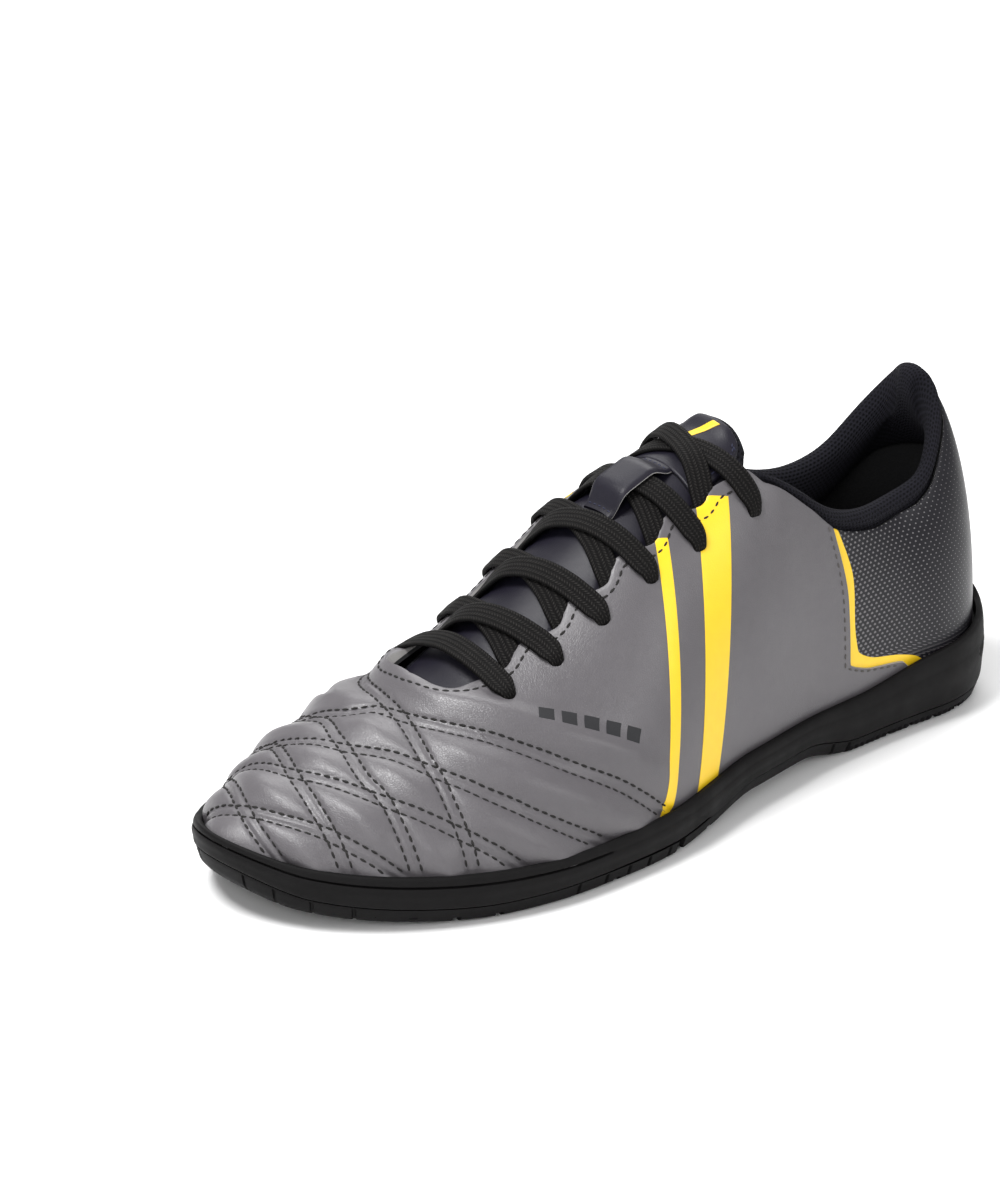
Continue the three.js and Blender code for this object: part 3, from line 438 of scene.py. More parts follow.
# Materials.
class Finish:
    """A material with helpers that add and join its nodes."""

    def __init__(self, name, color, roughness, **sockets):
        self.material = bpy.data.materials.new(name)
        self.material.use_nodes = True
        self.tree = self.material.node_tree
        self.shader = self.tree.nodes["Principled BSDF"]
        self.shader.inputs["Base Color"].default_value = (*color, 1)
        self.shader.inputs["Roughness"].default_value = roughness
        for socket, value in sockets.items():
            self.shader.inputs[socket.replace("_", " ")].default_value = value
        self.color = color

    def node(self, kind, inputs=None, **settings):
        made = self.tree.nodes.new(kind)
        for key, value in settings.items():
            setattr(made, key, value)
        for key, value in (inputs or {}).items():
            self.feed(made.inputs[key], value)
        return made

    def feed(self, socket, value):
        if isinstance(value, bpy.types.NodeSocket):
            self.tree.links.new(value, socket)
        else:
            socket.default_value = value

    def math(self, operation, a, b=0.0, c=0.0):
        return self.node("ShaderNodeMath", {0: a, 1: b, 2: c}, operation=operation).outputs[0]

    def place(self, scale=(1, 1, 1), uv=False, turn=(0, 0, 0)):
        source = self.node("ShaderNodeTexCoord").outputs["UV" if uv else "Object"]
        return self.node("ShaderNodeMapping", {"Vector": source, "Scale": scale, "Rotation": turn}).outputs[0]

    def noise(self, where, scale, detail=4.0, roughness=0.55):
        inputs = {"Vector": where, "Scale": scale, "Detail": detail, "Roughness": roughness}
        return self.node("ShaderNodeTexNoise", inputs).outputs["Fac"]

    def cells(self, where, scale, output="Distance", feature="F1"):
        made = self.node("ShaderNodeTexVoronoi", {"Vector": where, "Scale": scale}, feature=feature)
        return made.outputs[output]

    def ramp(self, value, low, high, start=0.0, end=1.0):
        inputs = {"Value": value, "From Min": low, "From Max": high, "To Min": start, "To Max": end}
        return self.node("ShaderNodeMapRange", inputs).outputs["Result"]

    def blend(self, factor, a, b):
        made = self.node("ShaderNodeMix", {"Factor": factor}, data_type="RGBA")
        for socket, value in ((made.inputs[6], a), (made.inputs[7], b)):
            self.feed(socket, value if isinstance(value, bpy.types.NodeSocket) else (*value, 1))
        return made.outputs[2]

    def bump(self, height, distance, strength=1.0, below=None):
        inputs = {"Height": height, "Distance": distance, "Strength": strength}
        if below is not None:
            inputs["Normal"] = below
        return self.node("ShaderNodeBump", inputs).outputs["Normal"]

    def finish(self, color=None, roughness=None, normal=None):
        for name, value in (("Base Color", color), ("Roughness", roughness), ("Normal", normal)):
            if value is not None:
                self.feed(self.shader.inputs[name], value)
        return self.material


def shade(color, factor):
    return tuple(min(max(v * factor, 0), 1) for v in color)


GREY = (0.094, 0.088, 0.095)
YELLOW = (0.86, 0.56, 0.012)
BLACK_RUBBER = (0.0065, 0.0062, 0.0064)
NAVY = (0.0085, 0.0075, 0.014)
KNIT_BLACK = (0.006, 0.0058, 0.0085)
LACE_BLACK = (0.0035, 0.0032, 0.0032)
PANEL_BLACK = (0.010, 0.0095, 0.0125)
DOT_GREY = (0.15, 0.145, 0.15)
GRAIN_SCALE = 1500


def leather(name, color, roughness, grain=1.0, coat=0.0, grit=0.035, shine=0.5):
    """Coated leather: fine cells of grain, a few larger wrinkles and slightly uneven gloss."""
    f = Finish(name, color, roughness, Coat_Weight=coat, Coat_Roughness=0.3, Specular_IOR_Level=shine)
    where = f.place()
    wave = f.noise(where, 260, 3)
    wander = f.node("ShaderNodeTexNoise", {"Vector": where, "Scale": 420.0}).outputs["Color"]
    shift = f.node("ShaderNodeVectorMath", {0: wander, 1: (0.9 * MM,) * 3}, operation="MULTIPLY")
    moved = f.node("ShaderNodeVectorMath", {0: where, 1: shift.outputs[0]}, operation="ADD")
    cells = f.cells(moved.outputs[0], GRAIN_SCALE, feature="DISTANCE_TO_EDGE")
    pores = f.ramp(cells, 0.0, 0.16)
    wrinkle = f.noise(f.place((1, 0.55, 1.4)), 95, 5, 0.6)
    coarse = f.bump(wrinkle, 0.5 * MM, 0.06 * grain)
    fine = f.bump(pores, 0.06 * MM, 0.45 * grain, coarse)
    tone = f.blend(f.ramp(wave, 0.3, 0.7), shade(color, 1 - grit), shade(color, 1 + grit))
    gloss = f.ramp(f.noise(where, 55, 4), 0.3, 0.7, roughness - 0.03, roughness + 0.04)
    return f.finish(tone, gloss, fine)


def heel_panel():
    """Glossy dark leather printed with staggered drops that shrink towards the back of the heel."""
    f = Finish("heel_panel", PANEL_BLACK, 0.34, Specular_IOR_Level=0.22)
    uv = f.node("ShaderNodeTexCoord").outputs["UV"]
    parts = f.node("ShaderNodeSeparateXYZ", {0: uv})
    along, up = parts.outputs[0], parts.outputs[1]
    row = f.math("DIVIDE", up, 1.28 * MM)
    odd = f.math("MODULO", f.math("FLOOR", row), 2.0)
    column = f.math("ADD", f.math("DIVIDE", along, 2.1 * MM), f.math("MULTIPLY", odd, 0.5))
    x = f.math("SUBTRACT", f.math("FRACT", column), 0.5)
    y = f.math("SUBTRACT", f.math("FRACT", row), 0.42)
    narrow = f.math("ADD", 1.0, f.math("MULTIPLY", y, 1.5))
    x = f.math("MULTIPLY", x, f.math("MULTIPLY", narrow, 1.25))
    away = f.math("SQRT", f.math("ADD", f.math("MULTIPLY", x, x), f.math("MULTIPLY", y, y)))
    size = f.ramp(along, 0.0, 62 * MM, 0.36, 0.09)
    rise = f.ramp(up, 15 * MM, 75 * MM, 1.0, 0.72)
    drop = f.ramp(f.math("SUBTRACT", away, f.math("MULTIPLY", size, rise)), -0.04, 0.04, 1.0, 0.0)
    where = f.place()
    mottled = f.blend(f.noise(where, 200, 3), shade(PANEL_BLACK, 0.85), shade(PANEL_BLACK, 1.2))
    color = f.blend(drop, mottled, DOT_GREY)
    grain = f.bump(f.cells(where, GRAIN_SCALE, feature="DISTANCE_TO_EDGE"), 0.05 * MM, 0.5)
    raised = f.bump(drop, 0.08 * MM, 0.6, grain)
    return f.finish(color, f.ramp(f.noise(where, 60, 4), 0.3, 0.7, 0.3, 0.42), raised)


def rubber():
    f = Finish("black_rubber", BLACK_RUBBER, 0.6, Specular_IOR_Level=0.08)
    where = f.place()
    fine = f.bump(f.noise(where, 2600, 3), 0.05 * MM, 0.5)
    slow = f.bump(f.noise(where, 300, 3), 0.12 * MM, 0.3, fine)
    tone = f.blend(f.noise(where, 140, 4), shade(BLACK_RUBBER, 0.85), shade(BLACK_RUBBER, 1.35))
    return f.finish(tone, f.ramp(f.noise(where, 90, 4), 0.3, 0.7, 0.5, 0.68), slow)


def knit(name, color, pitch, uv=True):
    """Spacer knit: staggered little eyes between raised loops, with painted shade in the eyes and painted light
    on the loops.
    """
    f = Finish(name, color, 0.92, Specular_IOR_Level=0.15)
    base = f.place((1, 1, 1), uv)
    parts = f.node("ShaderNodeSeparateXYZ", {0: base})
    row = f.math("DIVIDE", parts.outputs[1], 0.8 * pitch)
    odd = f.math("MODULO", f.math("FLOOR", row), 2.0)
    column = f.math("ADD", f.math("DIVIDE", parts.outputs[0], pitch), f.math("MULTIPLY", odd, 0.5))
    x = f.math("SUBTRACT", f.math("FRACT", column), 0.5)
    y = f.math("SUBTRACT", f.math("FRACT", row), 0.5)
    away = f.math("SQRT", f.math("ADD", f.math("MULTIPLY", x, x), f.math("MULTIPLY", y, y)))
    loop = f.ramp(away, 0.12, 0.44)
    fibre = f.noise(f.place(), 3500, 2)
    height = f.math("ADD", loop, f.math("MULTIPLY", fibre, 0.35))
    # Painted shade and light: the eyes are darkened to 0.3 of the knit's colour and the raised loops lightened
    # to 1.5 of it.
    eye_shade_loop_light = f.blend(loop, shade(color, 0.3), shade(color, 1.5))
    return f.finish(eye_shade_loop_light, None, f.bump(height, 0.35 * MM, 0.9))


def braid():
    """Flat braid: lengthwise ridges of slanted threads, with a painted highlight on the threads' crests. The
    map holds metres along and across.
    """
    f = Finish("lace_braid", LACE_BLACK, 0.7, Specular_IOR_Level=0.1)
    uv = f.node("ShaderNodeTexCoord").outputs["UV"]
    parts = f.node("ShaderNodeSeparateXYZ", {0: uv})
    rib = f.math("DIVIDE", parts.outputs[1], LACE_WIDTH / 5)
    lane = f.math("FRACT", rib)
    sign = f.math("SUBTRACT", f.math("MULTIPLY", f.math("MODULO", f.math("FLOOR", rib), 2.0), 2.0), 1.0)
    slant = f.math("MULTIPLY", f.math("MULTIPLY", lane, sign), 0.9)
    phase = f.math("ADD", f.math("DIVIDE", parts.outputs[0], 0.95 * MM), slant)
    thread = f.math("ABSOLUTE", f.math("SINE", f.math("MULTIPLY", phase, math.pi)))
    ridge = f.math("SINE", f.math("MULTIPLY", lane, math.pi))
    height = f.math("ADD", f.math("MULTIPLY", ridge, 0.6), f.math("MULTIPLY", thread, 0.4))
    grit = f.noise(f.place(), 4000, 2)
    crest_highlight = f.ramp(f.math("MULTIPLY", f.math("MULTIPLY", thread, ridge), grit), 0.28, 0.62)
    # Painted highlight: the crests of the threads are lightened, speckled by the grit noise.
    color = f.blend(crest_highlight, LACE_BLACK, (0.03, 0.028, 0.026))
    return f.finish(color, None, f.bump(height, 0.3 * MM, 0.9))


def plain(name, color, roughness, scale, depth):
    """Thread, cut edges and paint: one colour, slightly uneven."""
    f = Finish(name, color, roughness)
    where = f.place()
    speck = f.noise(where, scale, 3)
    tone = f.blend(speck, shade(color, 0.8), shade(color, 1.2))
    return f.finish(tone, f.ramp(speck, 0.2, 0.8, roughness - 0.05, roughness + 0.05), f.bump(speck, depth))


LEATHER = leather("grey_leather", GREY, 0.35)
BAND = leather("yellow_band", YELLOW, 0.4, 0.5, 0.0, 0.02)
PANEL = heel_panel()
RUBBER = rubber()
KNIT = knit("collar_knit", KNIT_BLACK, 1.5 * MM)
FOOTBED_KNIT = knit("footbed_knit", shade(KNIT_BLACK, 1.3), 1.1 * MM, False)
TONGUE_KNIT = knit("tongue_knit", KNIT_BLACK, 1.5 * MM)
TONGUE_LEATHER = leather("tongue_leather", NAVY, 0.42, 0.7, shine=0.28)
BRAID = braid()
CUT_EDGE = plain("cut_edge", (0.33, 0.32, 0.315), 0.85, 2500, 0.1 * MM)
BACKING = plain("black_backing", (0.012, 0.012, 0.013), 0.95, 3000, 0.2 * MM)
DARK_THREAD = plain("dark_thread", (0.006, 0.005, 0.0045), 0.8, 4000, 0.08 * MM)
PRINT = plain("dark_print", (0.009, 0.009, 0.011), 0.7, 1500, 0.02 * MM)
SEAM_THREAD = plain("seam_thread", (0.075, 0.068, 0.064), 0.75, 4000, 0.08 * MM)
NAVY_THREAD = plain("navy_thread", (0.012, 0.014, 0.04), 0.7, 4000, 0.08 * MM)


# Quilting of the vamp: each line is a double row of stitches, placed by turn and angle. Lines that
# sweep forwards to the inner side, then lines that sweep back to it.
QUILT = [
    [(0.545, -2), (0.579, 10), (0.608, 20.4), (0.646, 32.1), (0.675, 42.6), (0.705, 56.3), (0.739, 69.9),
     (0.818, 81), (0.984, 84.9), (1.11, 77), (1.168, 67), (1.19, 55), (1.203, 40), (1.205, 20), (1.2, -2)],
    [(0.617, -2), (0.665, 14), (0.709, 27.8), (0.748, 44.1), (0.778, 53.5), (0.822, 62.7), (0.913, 67.6),
     (1.002, 67.6), (1.08, 60.5), (1.127, 50), (1.148, 36), (1.158, 18), (1.158, -2)],
    [(0.706, -2), (0.737, 13.1), (0.763, 23.8), (0.797, 34.9), (0.832, 42.8), (0.89, 50.9), (0.972, 52.6),
     (1.056, 48), (1.1, 38), (1.118, 22), (1.122, -2)],
    [(0.798, -2), (0.833, 13.1), (0.857, 20.8), (0.886, 27.4), (0.935, 30.2), (0.988, 28.5), (1.033, 20.8),
     (1.065, 8), (1.072, -2)],
    [(1.4, -2), (1.385, 12), (1.36, 26), (1.33, 42), (1.3, 56), (1.28, 68), (0.798, 78),
     (0.777, 59.5), (0.769, 49), (0.764, 32.5), (0.76, 21.4), (0.755, -2)],
    [(1.3, -2), (1.275, 14), (1.25, 28), (1.22, 44), (1.18, 58), (1.122, 70), (1, 72), (0.913, 66.7),
     (0.858, 53.7), (0.83, 43.9), (0.811, 25.5), (0.797, -2)],
    [(1.225, -2), (1.2, 14), (1.178, 26), (1.15, 40), (1.112, 52), (1.04, 56), (0.972, 52.6), (0.905, 40),
     (0.872, 24), (0.85, -2)],
    [(1.17, -2), (1.148, 12), (1.122, 24), (1.06, 33), (0.994, 29.1), (0.942, 15.9), (0.905, -2)],
]
ROW_GAP = 2.8 * MM
STITCH_PITCH = 2.9 * MM


def last_skin():
    turns, angles = np.linspace(0, 2, 480, endpoint=False), np.linspace(0.05, 90, 70)
    points = last_point(turns[:, None], angles[None, :])
    quads, _, _ = grid_quads(len(turns), len(angles), wrap_rows=True)
    return BVHTree.FromPolygons(points.reshape(-1, 3).tolist(), quads.tolist())


LAST_SKIN = last_skin()


def snap(points):
    return np.array([LAST_SKIN.find_nearest(Vector(p))[0] for p in points])


def surface_path(rows, steps):
    """A smooth path on the last through rows of turn and angle."""
    rows = np.array(rows)
    points = last_point(rows[:, 0], np.maximum(rows[:, 1], 0.05))
    points[0, 2] -= 1 * MM
    points[-1, 2] -= 1 * MM
    path = round_path(points, steps)
    for _ in range(3):
        path = evened(snap(path), 12)
    return snap(path)


QUILT_PATHS = [surface_path(rows, 260) for rows in QUILT]


def nearest(points, path, chunk=4000):
    gaps = np.empty(len(points))
    for start in range(0, len(points), chunk):
        part = points[start:start + chunk]
        gap = np.linalg.norm(part[:, None, :] - path[None, :, :], axis=2)
        gaps[start:start + chunk] = gap.min(axis=1)
    return gaps


def quilt_lift(points):
    """Soft troughs along the stitch rows and padded fields between them."""
    lift = np.zeros(len(points))
    fore = points[:, 0] < 0.02
    part = points[fore]
    field, flat = np.ones(len(part)), np.ones(len(part))
    closest = np.full(len(part), 1.0)
    for path in QUILT_PATHS:
        gap = nearest(part, path[::2])
        rows = np.exp(-(((gap - ROW_GAP / 2) / (0.85 * MM)) ** 2))
        flat *= 1 - 0.55 * rows - 0.4 * np.exp(-((gap / (3.4 * MM)) ** 2))
        field *= smooth(0.5 * MM, 11 * MM, gap)
        closest = np.minimum(closest, gap)
    puff = 2.4 * MM * field * smooth(-0.012, -0.04, part[:, 0]) * smooth(16 * MM, 8 * MM, closest)
    lift[fore] = puff - 1.15 * MM * (1 - flat)
    return lift


# Heel panel: the seam that the quarter's cut edge follows, and the back edge of its yellow border.
SEAM_BACK = Curve([(0, 0.13), (0.235, 0.18), (0.26, 0.235), (0.3, 0.262), (0.5, 0.262), (0.7, 0.272),
                   (1.2, 0.31)])
BORDER_BACK = Curve([(0, 0.12), (0.2, 0.145), (0.235, 0.158), (0.262, 0.185), (0.29, 0.228), (0.33, 0.248),
                     (0.42, 0.252), (0.55, 0.25), (0.7, 0.262), (0.8, 0.276), (1.2, 0.31)])
# Ways of the columns that are drawn onto the border's back edge, the seam, and the foot of its step.
BORDER_WAY, SEAM_WAY, STEP_WAY = 0.25, 0.26, 0.2612


def edge_ways(table, rows, side):
    """How far round each row of the upper meets an edge that is given by height."""
    low = np.full(len(rows), 0.12)
    high = np.full(len(rows), 0.37)
    for _ in range(22):
        middle = (low + high) / 2
        turn = middle if side < 0 else 2 - middle
        p = last_point(turn, rows * opening_angle(turn))
        behind = p[:, 0] > length_at(table(p[:, 2] / HEEL_HEIGHT))
        low = np.where(behind, middle, low)
        high = np.where(behind, high, middle)
    return (low + high) / 2


# Half the way over which the wall steps down to the heel panel.
SEAM_HALF = 0.0006


def upper_columns():
    """Ways of the columns before they are drawn to the seam, and which of them lie on its edges."""
    back = np.linspace(0, BORDER_WAY, 84)
    border = np.linspace(BORDER_WAY, SEAM_WAY, 6)[1:]
    front = np.concatenate([[STEP_WAY], np.linspace(0.265, TOE_TURN, 200)])
    bow = 0.722 + (THROAT_FRONT - 0.722) * np.sin(np.radians(np.arange(0, 91, 5)))
    toe = np.linspace(TOE_TURN, 1, 118)[1:]
    ways = np.concatenate([back, border, front, turn_at(bow, -1), toe])
    return np.unique(np.round(ways, 7))


COLUMN_WAYS = upper_columns()
UPPER_ROWS = 84


def warped(ways, row_shares, side):
    """Ways of each row and column, with fixed columns drawn onto the border and the seam."""
    seam = edge_ways(SEAM_BACK, row_shares, side)
    border = np.minimum(edge_ways(BORDER_BACK, row_shares, side), seam - 0.002)
    turned = np.empty((len(row_shares), len(ways)))
    for i in range(len(row_shares)):
        fixed = [0, border[i], seam[i] - SEAM_HALF, seam[i] + SEAM_HALF, 0.56, 1]
        turned[i] = np.interp(ways, [0, 0.25, 0.26, 0.2612, 0.56, 1], fixed)
    return turned if side < 0 else 2 - turned


# Materials of the upper's faces, in the order of its slots, and the angle in degrees that stays sharp.
LEATHER_KIND, PANEL_KIND, BAND_KIND, EDGE_KIND, BACKING_KIND = range(5)
UPPER_SHARP = 50


def build_upper():
    """The quilted outer face, the cut edge and the inner face, as one closed wall."""
    shares = np.linspace(0, 1, UPPER_ROWS + 1)
    outer_side = warped(COLUMN_WAYS, shares, -1)
    inner_side = warped(COLUMN_WAYS, shares, 1)[:, ::-1]
    turns = np.concatenate([outer_side, inner_side[:, 1:-1]], axis=1)
    ways = np.concatenate([COLUMN_WAYS, COLUMN_WAYS[::-1][1:-1]])
    count = turns.shape[1]
    openings = np.array([opening_angle(row) for row in turns])
    angles = openings * shares[:, None]
    skin = last_point(turns, angles)
    normal = last_normal(turns, angles)
    lift = quilt_lift(skin.reshape(-1, 3)).reshape(skin.shape[:2])
    lift -= np.where(ways < (SEAM_WAY + STEP_WAY) / 2, PANEL_STEP, 0)[None, :]
    closed = share_of(turns[-1]) >= THROAT_FRONT - 1e-9
    rows_down = (UPPER_ROWS - np.arange(UPPER_ROWS + 1))[:, None]
    lift -= np.where(~closed[None, :] & (rows_down == 0), 0.22 * MM, 0)
    outer = skin + normal * lift[..., None]
    inner_rows = [UPPER_ROWS, UPPER_ROWS - 2, UPPER_ROWS - 6, 64, 50, 36, 22, 10, 0]
    edge = [skin[-1] - normal[-1] * depth for depth in (0.95 * MM, 1.0 * MM)]
    inner = [skin[r] - normal[r] * WALL for r in inner_rows]
    opposite = (count - np.arange(count)) % count
    tip = int(np.argmax(ways >= TOE_TURN - 1e-9))

    def meet(ring):
        middle = (ring + ring[opposite]) / 2
        pole = middle[tip]
        target = np.where((ways < TOE_TURN)[:, None], middle, pole)
        ring[closed] = target[closed]

    for ring in [outer[-1]] + edge + [inner[0]]:
        meet(ring)
    rings = np.concatenate([outer, np.array(edge), np.array(inner)])
    rings[0, :, 2] = skin[0, :, 2]
    rings[-1, :, 2] = skin[0, :, 2]
    quads, r, c = grid_quads(len(rings), count, wrap_rows=True, wrap_columns=True)
    both = closed[c] & closed[(c + 1) % count]
    between = (r >= UPPER_ROWS) & (r < UPPER_ROWS + 3)
    keep = ~(both & between)
    low_way = np.minimum(ways[c], ways[(c + 1) % count])
    high_way = np.maximum(ways[c], ways[(c + 1) % count])
    kinds = np.where(high_way <= BORDER_WAY + 1e-6, PANEL_KIND, LEATHER_KIND)
    kinds = np.where((low_way >= BORDER_WAY - 1e-6) & (high_way <= SEAM_WAY + 1e-6), BAND_KIND, kinds)
    kinds = np.where((low_way >= SEAM_WAY - 1e-6) & (high_way <= STEP_WAY + 1e-6), EDGE_KIND, kinds)
    kinds = np.where(r == UPPER_ROWS, EDGE_KIND, kinds)
    kinds = np.where(r > UPPER_ROWS, BACKING_KIND, kinds)
    seam_x = length_at(SEAM_BACK(skin[..., 2] / HEEL_HEIGHT))
    uv_rows = np.stack([skin[..., 0] - seam_x, skin[..., 2]], -1)
    uv = np.concatenate([uv_rows, np.repeat(uv_rows[-1:], 2, 0), uv_rows[inner_rows]])
    return make_mesh("stitched_upper", rings, quads[keep], [LEATHER, PANEL, BAND, CUT_EDGE, BACKING],
                     kinds[keep], uv, UPPER_SHARP)


def punch_eyelets(piece):
    """Round holes through the wall, square to the leather, with light cut edges."""
    """Bores the twelve eyelets through the leather with one joined cutter."""
    points, quads = [], []
    sides, deep = 20, 8 * MM
    for share in EYELETS:
        for side in (-1, 1):
            middle = crown(share, side * EYELET_HALF, 0.0)
            out = crown_normal(share, side * EYELET_HALF)
            first = unit(np.cross(out, (1, 0, 0)))
            second = np.cross(out, first)
            base = len(points)
            for level in (-deep, deep):
                for i in range(sides):
                    angle = 2 * math.pi * i / sides
                    ray = first * math.cos(angle) + second * math.sin(angle)
                    points.append(middle + ray * EYELET_BORE / 2 + out * level)
            quads += [[base + i, base + (i + 1) % sides, base + sides + (i + 1) % sides, base + sides + i]
                      for i in range(sides)]
            quads.append([base + sides + i for i in range(sides)])
            quads.append([base + i for i in reversed(range(sides))])
    mesh = bpy.data.meshes.new("eyelet_cutter")
    mesh.from_pydata([tuple(p) for p in points], [], quads)
    mesh.materials.append(CUT_EDGE)
    cutter = placed("eyelet_cutter", mesh)
    cut = piece.modifiers.new("eyelets", "BOOLEAN")
    cut.operation = "DIFFERENCE"
    cut.solver = "EXACT"
    cut.material_mode = "TRANSFER"
    cut.object = cutter
    apply_modifiers(piece)
    bpy.data.objects.remove(cutter)


def apply_modifiers(piece):
    evaluated = piece.evaluated_get(bpy.context.evaluated_depsgraph_get())
    mesh = bpy.data.meshes.new_from_object(evaluated)
    piece.modifiers.clear()
    piece.data = mesh


upper = build_upper()
punch_eyelets(upper)
finish_mesh(upper, UPPER_SHARP)


def tree_of(piece):
    mesh = piece.data
    mesh.calc_loop_triangles()
    points = [v.co.copy() for v in mesh.vertices]
    return BVHTree.FromPolygons(points, [tuple(t.vertices) for t in mesh.loop_triangles])


UPPER_SKIN = tree_of(upper)


def settle(points, skin=UPPER_SKIN, lift=0.0):
    """Nearest points on a piece's skin, raised square to it, with the skin's normals."""
    found, outs = [], []
    for p in points:
        spot, out, _, _ = skin.find_nearest(Vector(p))
        found.append(np.array(spot) + np.array(out) * lift)
        outs.append(np.array(out))
    return np.array(found), np.array(outs)


def settle_square(points, skin, lift):
    """Points dropped onto a skin along normals that are evened out along the row."""
    _, outs = settle(points, skin)
    outs = unit(evened(outs, 12))
    found = []
    for p, out in zip(points, outs):
        hit = skin.ray_cast(Vector(p + out * 5 * MM), Vector(-out), 10 * MM)[0]
        found.append(np.array(hit if hit is not None else skin.find_nearest(Vector(p))[0]) + out * lift)
    return np.array(found), outs


# Stitches: one small thread body on each point of a row, made by geometry nodes.
def stitch_tree():
    tree = bpy.data.node_groups.new("stitch_rows", "GeometryNodeTree")
    face = tree.interface
    face.new_socket("Geometry", in_out="INPUT", socket_type="NodeSocketGeometry")
    for name in ("Stitch length", "Thread width", "Thread height"):
        face.new_socket(name, in_out="INPUT", socket_type="NodeSocketFloat")
    face.new_socket("Thread", in_out="INPUT", socket_type="NodeSocketMaterial")
    face.new_socket("Geometry", in_out="OUTPUT", socket_type="NodeSocketGeometry")
    nodes, links = tree.nodes, tree.links
    given = nodes.new("NodeGroupInput")
    result = nodes.new("NodeGroupOutput")
    body = nodes.new("GeometryNodeMeshUVSphere")
    body.inputs["Segments"].default_value = 8
    body.inputs["Rings"].default_value = 5
    body.inputs["Radius"].default_value = 0.5
    size = nodes.new("ShaderNodeCombineXYZ")
    shape = nodes.new("GeometryNodeTransform")
    turn = nodes.new("FunctionNodeAxesToRotation")
    turn.primary_axis = "X"
    turn.secondary_axis = "Z"
    spread = nodes.new("GeometryNodeInstanceOnPoints")
    real = nodes.new("GeometryNodeRealizeInstances")
    smooth_node = nodes.new("GeometryNodeSetShadeSmooth")
    paint = nodes.new("GeometryNodeSetMaterial")
    for name, socket in (("Stitch length", "X"), ("Thread width", "Y"), ("Thread height", "Z")):
        links.new(given.outputs[name], size.inputs[socket])
    for attribute, socket in (("along", "Primary Axis"), ("out", "Secondary Axis")):
        read = nodes.new("GeometryNodeInputNamedAttribute")
        read.data_type = "FLOAT_VECTOR"
        read.inputs["Name"].default_value = attribute
        links.new(read.outputs["Attribute"], turn.inputs[socket])
    links.new(body.outputs["Mesh"], shape.inputs["Geometry"])
    links.new(size.outputs[0], shape.inputs["Scale"])
    links.new(given.outputs["Geometry"], spread.inputs["Points"])
    links.new(shape.outputs["Geometry"], spread.inputs["Instance"])
    links.new(turn.outputs["Rotation"], spread.inputs["Rotation"])
    links.new(spread.outputs["Instances"], real.inputs["Geometry"])
    links.new(real.outputs["Geometry"], smooth_node.inputs["Geometry"])
    links.new(smooth_node.outputs["Geometry"], paint.inputs["Geometry"])
    links.new(given.outputs["Thread"], paint.inputs["Material"])
    links.new(paint.outputs["Geometry"], result.inputs["Geometry"])
    return tree


STITCHES = stitch_tree()


def spread_bodies(name, tree, spots, alongs, outs, inputs):
    """Runs a tree on loose points that carry their directions, and keeps the plain mesh."""
    mesh = bpy.data.meshes.new(name)
    mesh.from_pydata([tuple(p) for p in spots], [], [])
    for attribute, values in (("along", alongs), ("out", outs)):
        layer = mesh.attributes.new(attribute, "FLOAT_VECTOR", "POINT")
        layer.data.foreach_set("vector", np.asarray(values, float).ravel())
    piece = placed(name, mesh)
    modifier = piece.modifiers.new(name, "NODES")
    modifier.node_group = tree
    sockets = {s.name: s.identifier for s in tree.interface.items_tree if s.in_out == "INPUT"}
    for key, value in inputs.items():
        modifier[sockets[key]] = value
    apply_modifiers(piece)
    return piece


def stitch_points(path, skin, lift, pitch=STITCH_PITCH, start=0.5):
    """Points along a path at the stitch pitch, settled on a skin, with their directions."""
    travel = travelled(path)
    count = max(int(travel[-1] / pitch), 2)
    at = (np.arange(count) + start) * travel[-1] / count
    spots = np.stack([np.interp(at, travel, path[:, k]) for k in range(3)], -1)
    ahead = np.stack([np.interp(at + 0.3 * pitch, travel, path[:, k]) for k in range(3)], -1)
    settled, outs = settle_square(spots, skin, lift)
    along = ahead - spots
    along -= outs * (along * outs).sum(axis=1, keepdims=True)
    return settled, unit(along), outs


def sew(name, paths, thread, skin=UPPER_SKIN, length=2.3 * MM, width=0.82 * MM, height=0.6 * MM,
        lift=0.02 * MM, pitch=STITCH_PITCH):
    rows = [stitch_points(path, skin, lift, pitch) for path in paths]
    spots, alongs, outs = [np.vstack([row[k] for row in rows]) for k in range(3)]
    inputs = {"Stitch length": length, "Thread width": width, "Thread height": height, "Thread": thread}
    return spread_bodies(name, STITCHES, spots, alongs, outs, inputs)


def beside(path, distance):
    """A path on the upper moved sideways along its skin."""
    _, outs = settle(path)
    return path + evened(unit(np.cross(outs, np.gradient(path, axis=0))), 20) * distance


def above_sole(path, gap=0.4 * MM):
    """The stretch of a path that isn't hidden by the sole's lip."""
    return path[path[:, 2] > RIM(share_at(path[:, 0])) + gap]


quilt_rows = []
for line in QUILT_PATHS:
    for way in (-0.5, 0.5):
        quilt_rows.append(above_sole(beside(line, way * ROW_GAP)))
quilting = sew("vamp_quilting", quilt_rows, DARK_THREAD)


def throat_loop(out, back=0.386):
    """A row outside the throat's edge, from the outer corner over the front to the inner one."""
    shares = np.concatenate([np.linspace(back, 0.735, 150),
                             0.735 + (THROAT_FRONT - 0.735) * np.sin(np.radians(np.arange(2, 91, 4)))])
    half = THROAT_EDGE(shares)
    flat = np.vstack([np.column_stack([shares * SHOE_LENGTH, -half]),
                      np.column_stack([shares * SHOE_LENGTH, half])[::-1][1:]])
    flat = round_path(flat[::2], 500)
    along = unit(np.gradient(flat, axis=0))
    flat = evened(flat + np.column_stack([along[:, 1], -along[:, 0]]) * out, 30)
    return crown(flat[:, 0] / SHOE_LENGTH, flat[:, 1], 0.0)


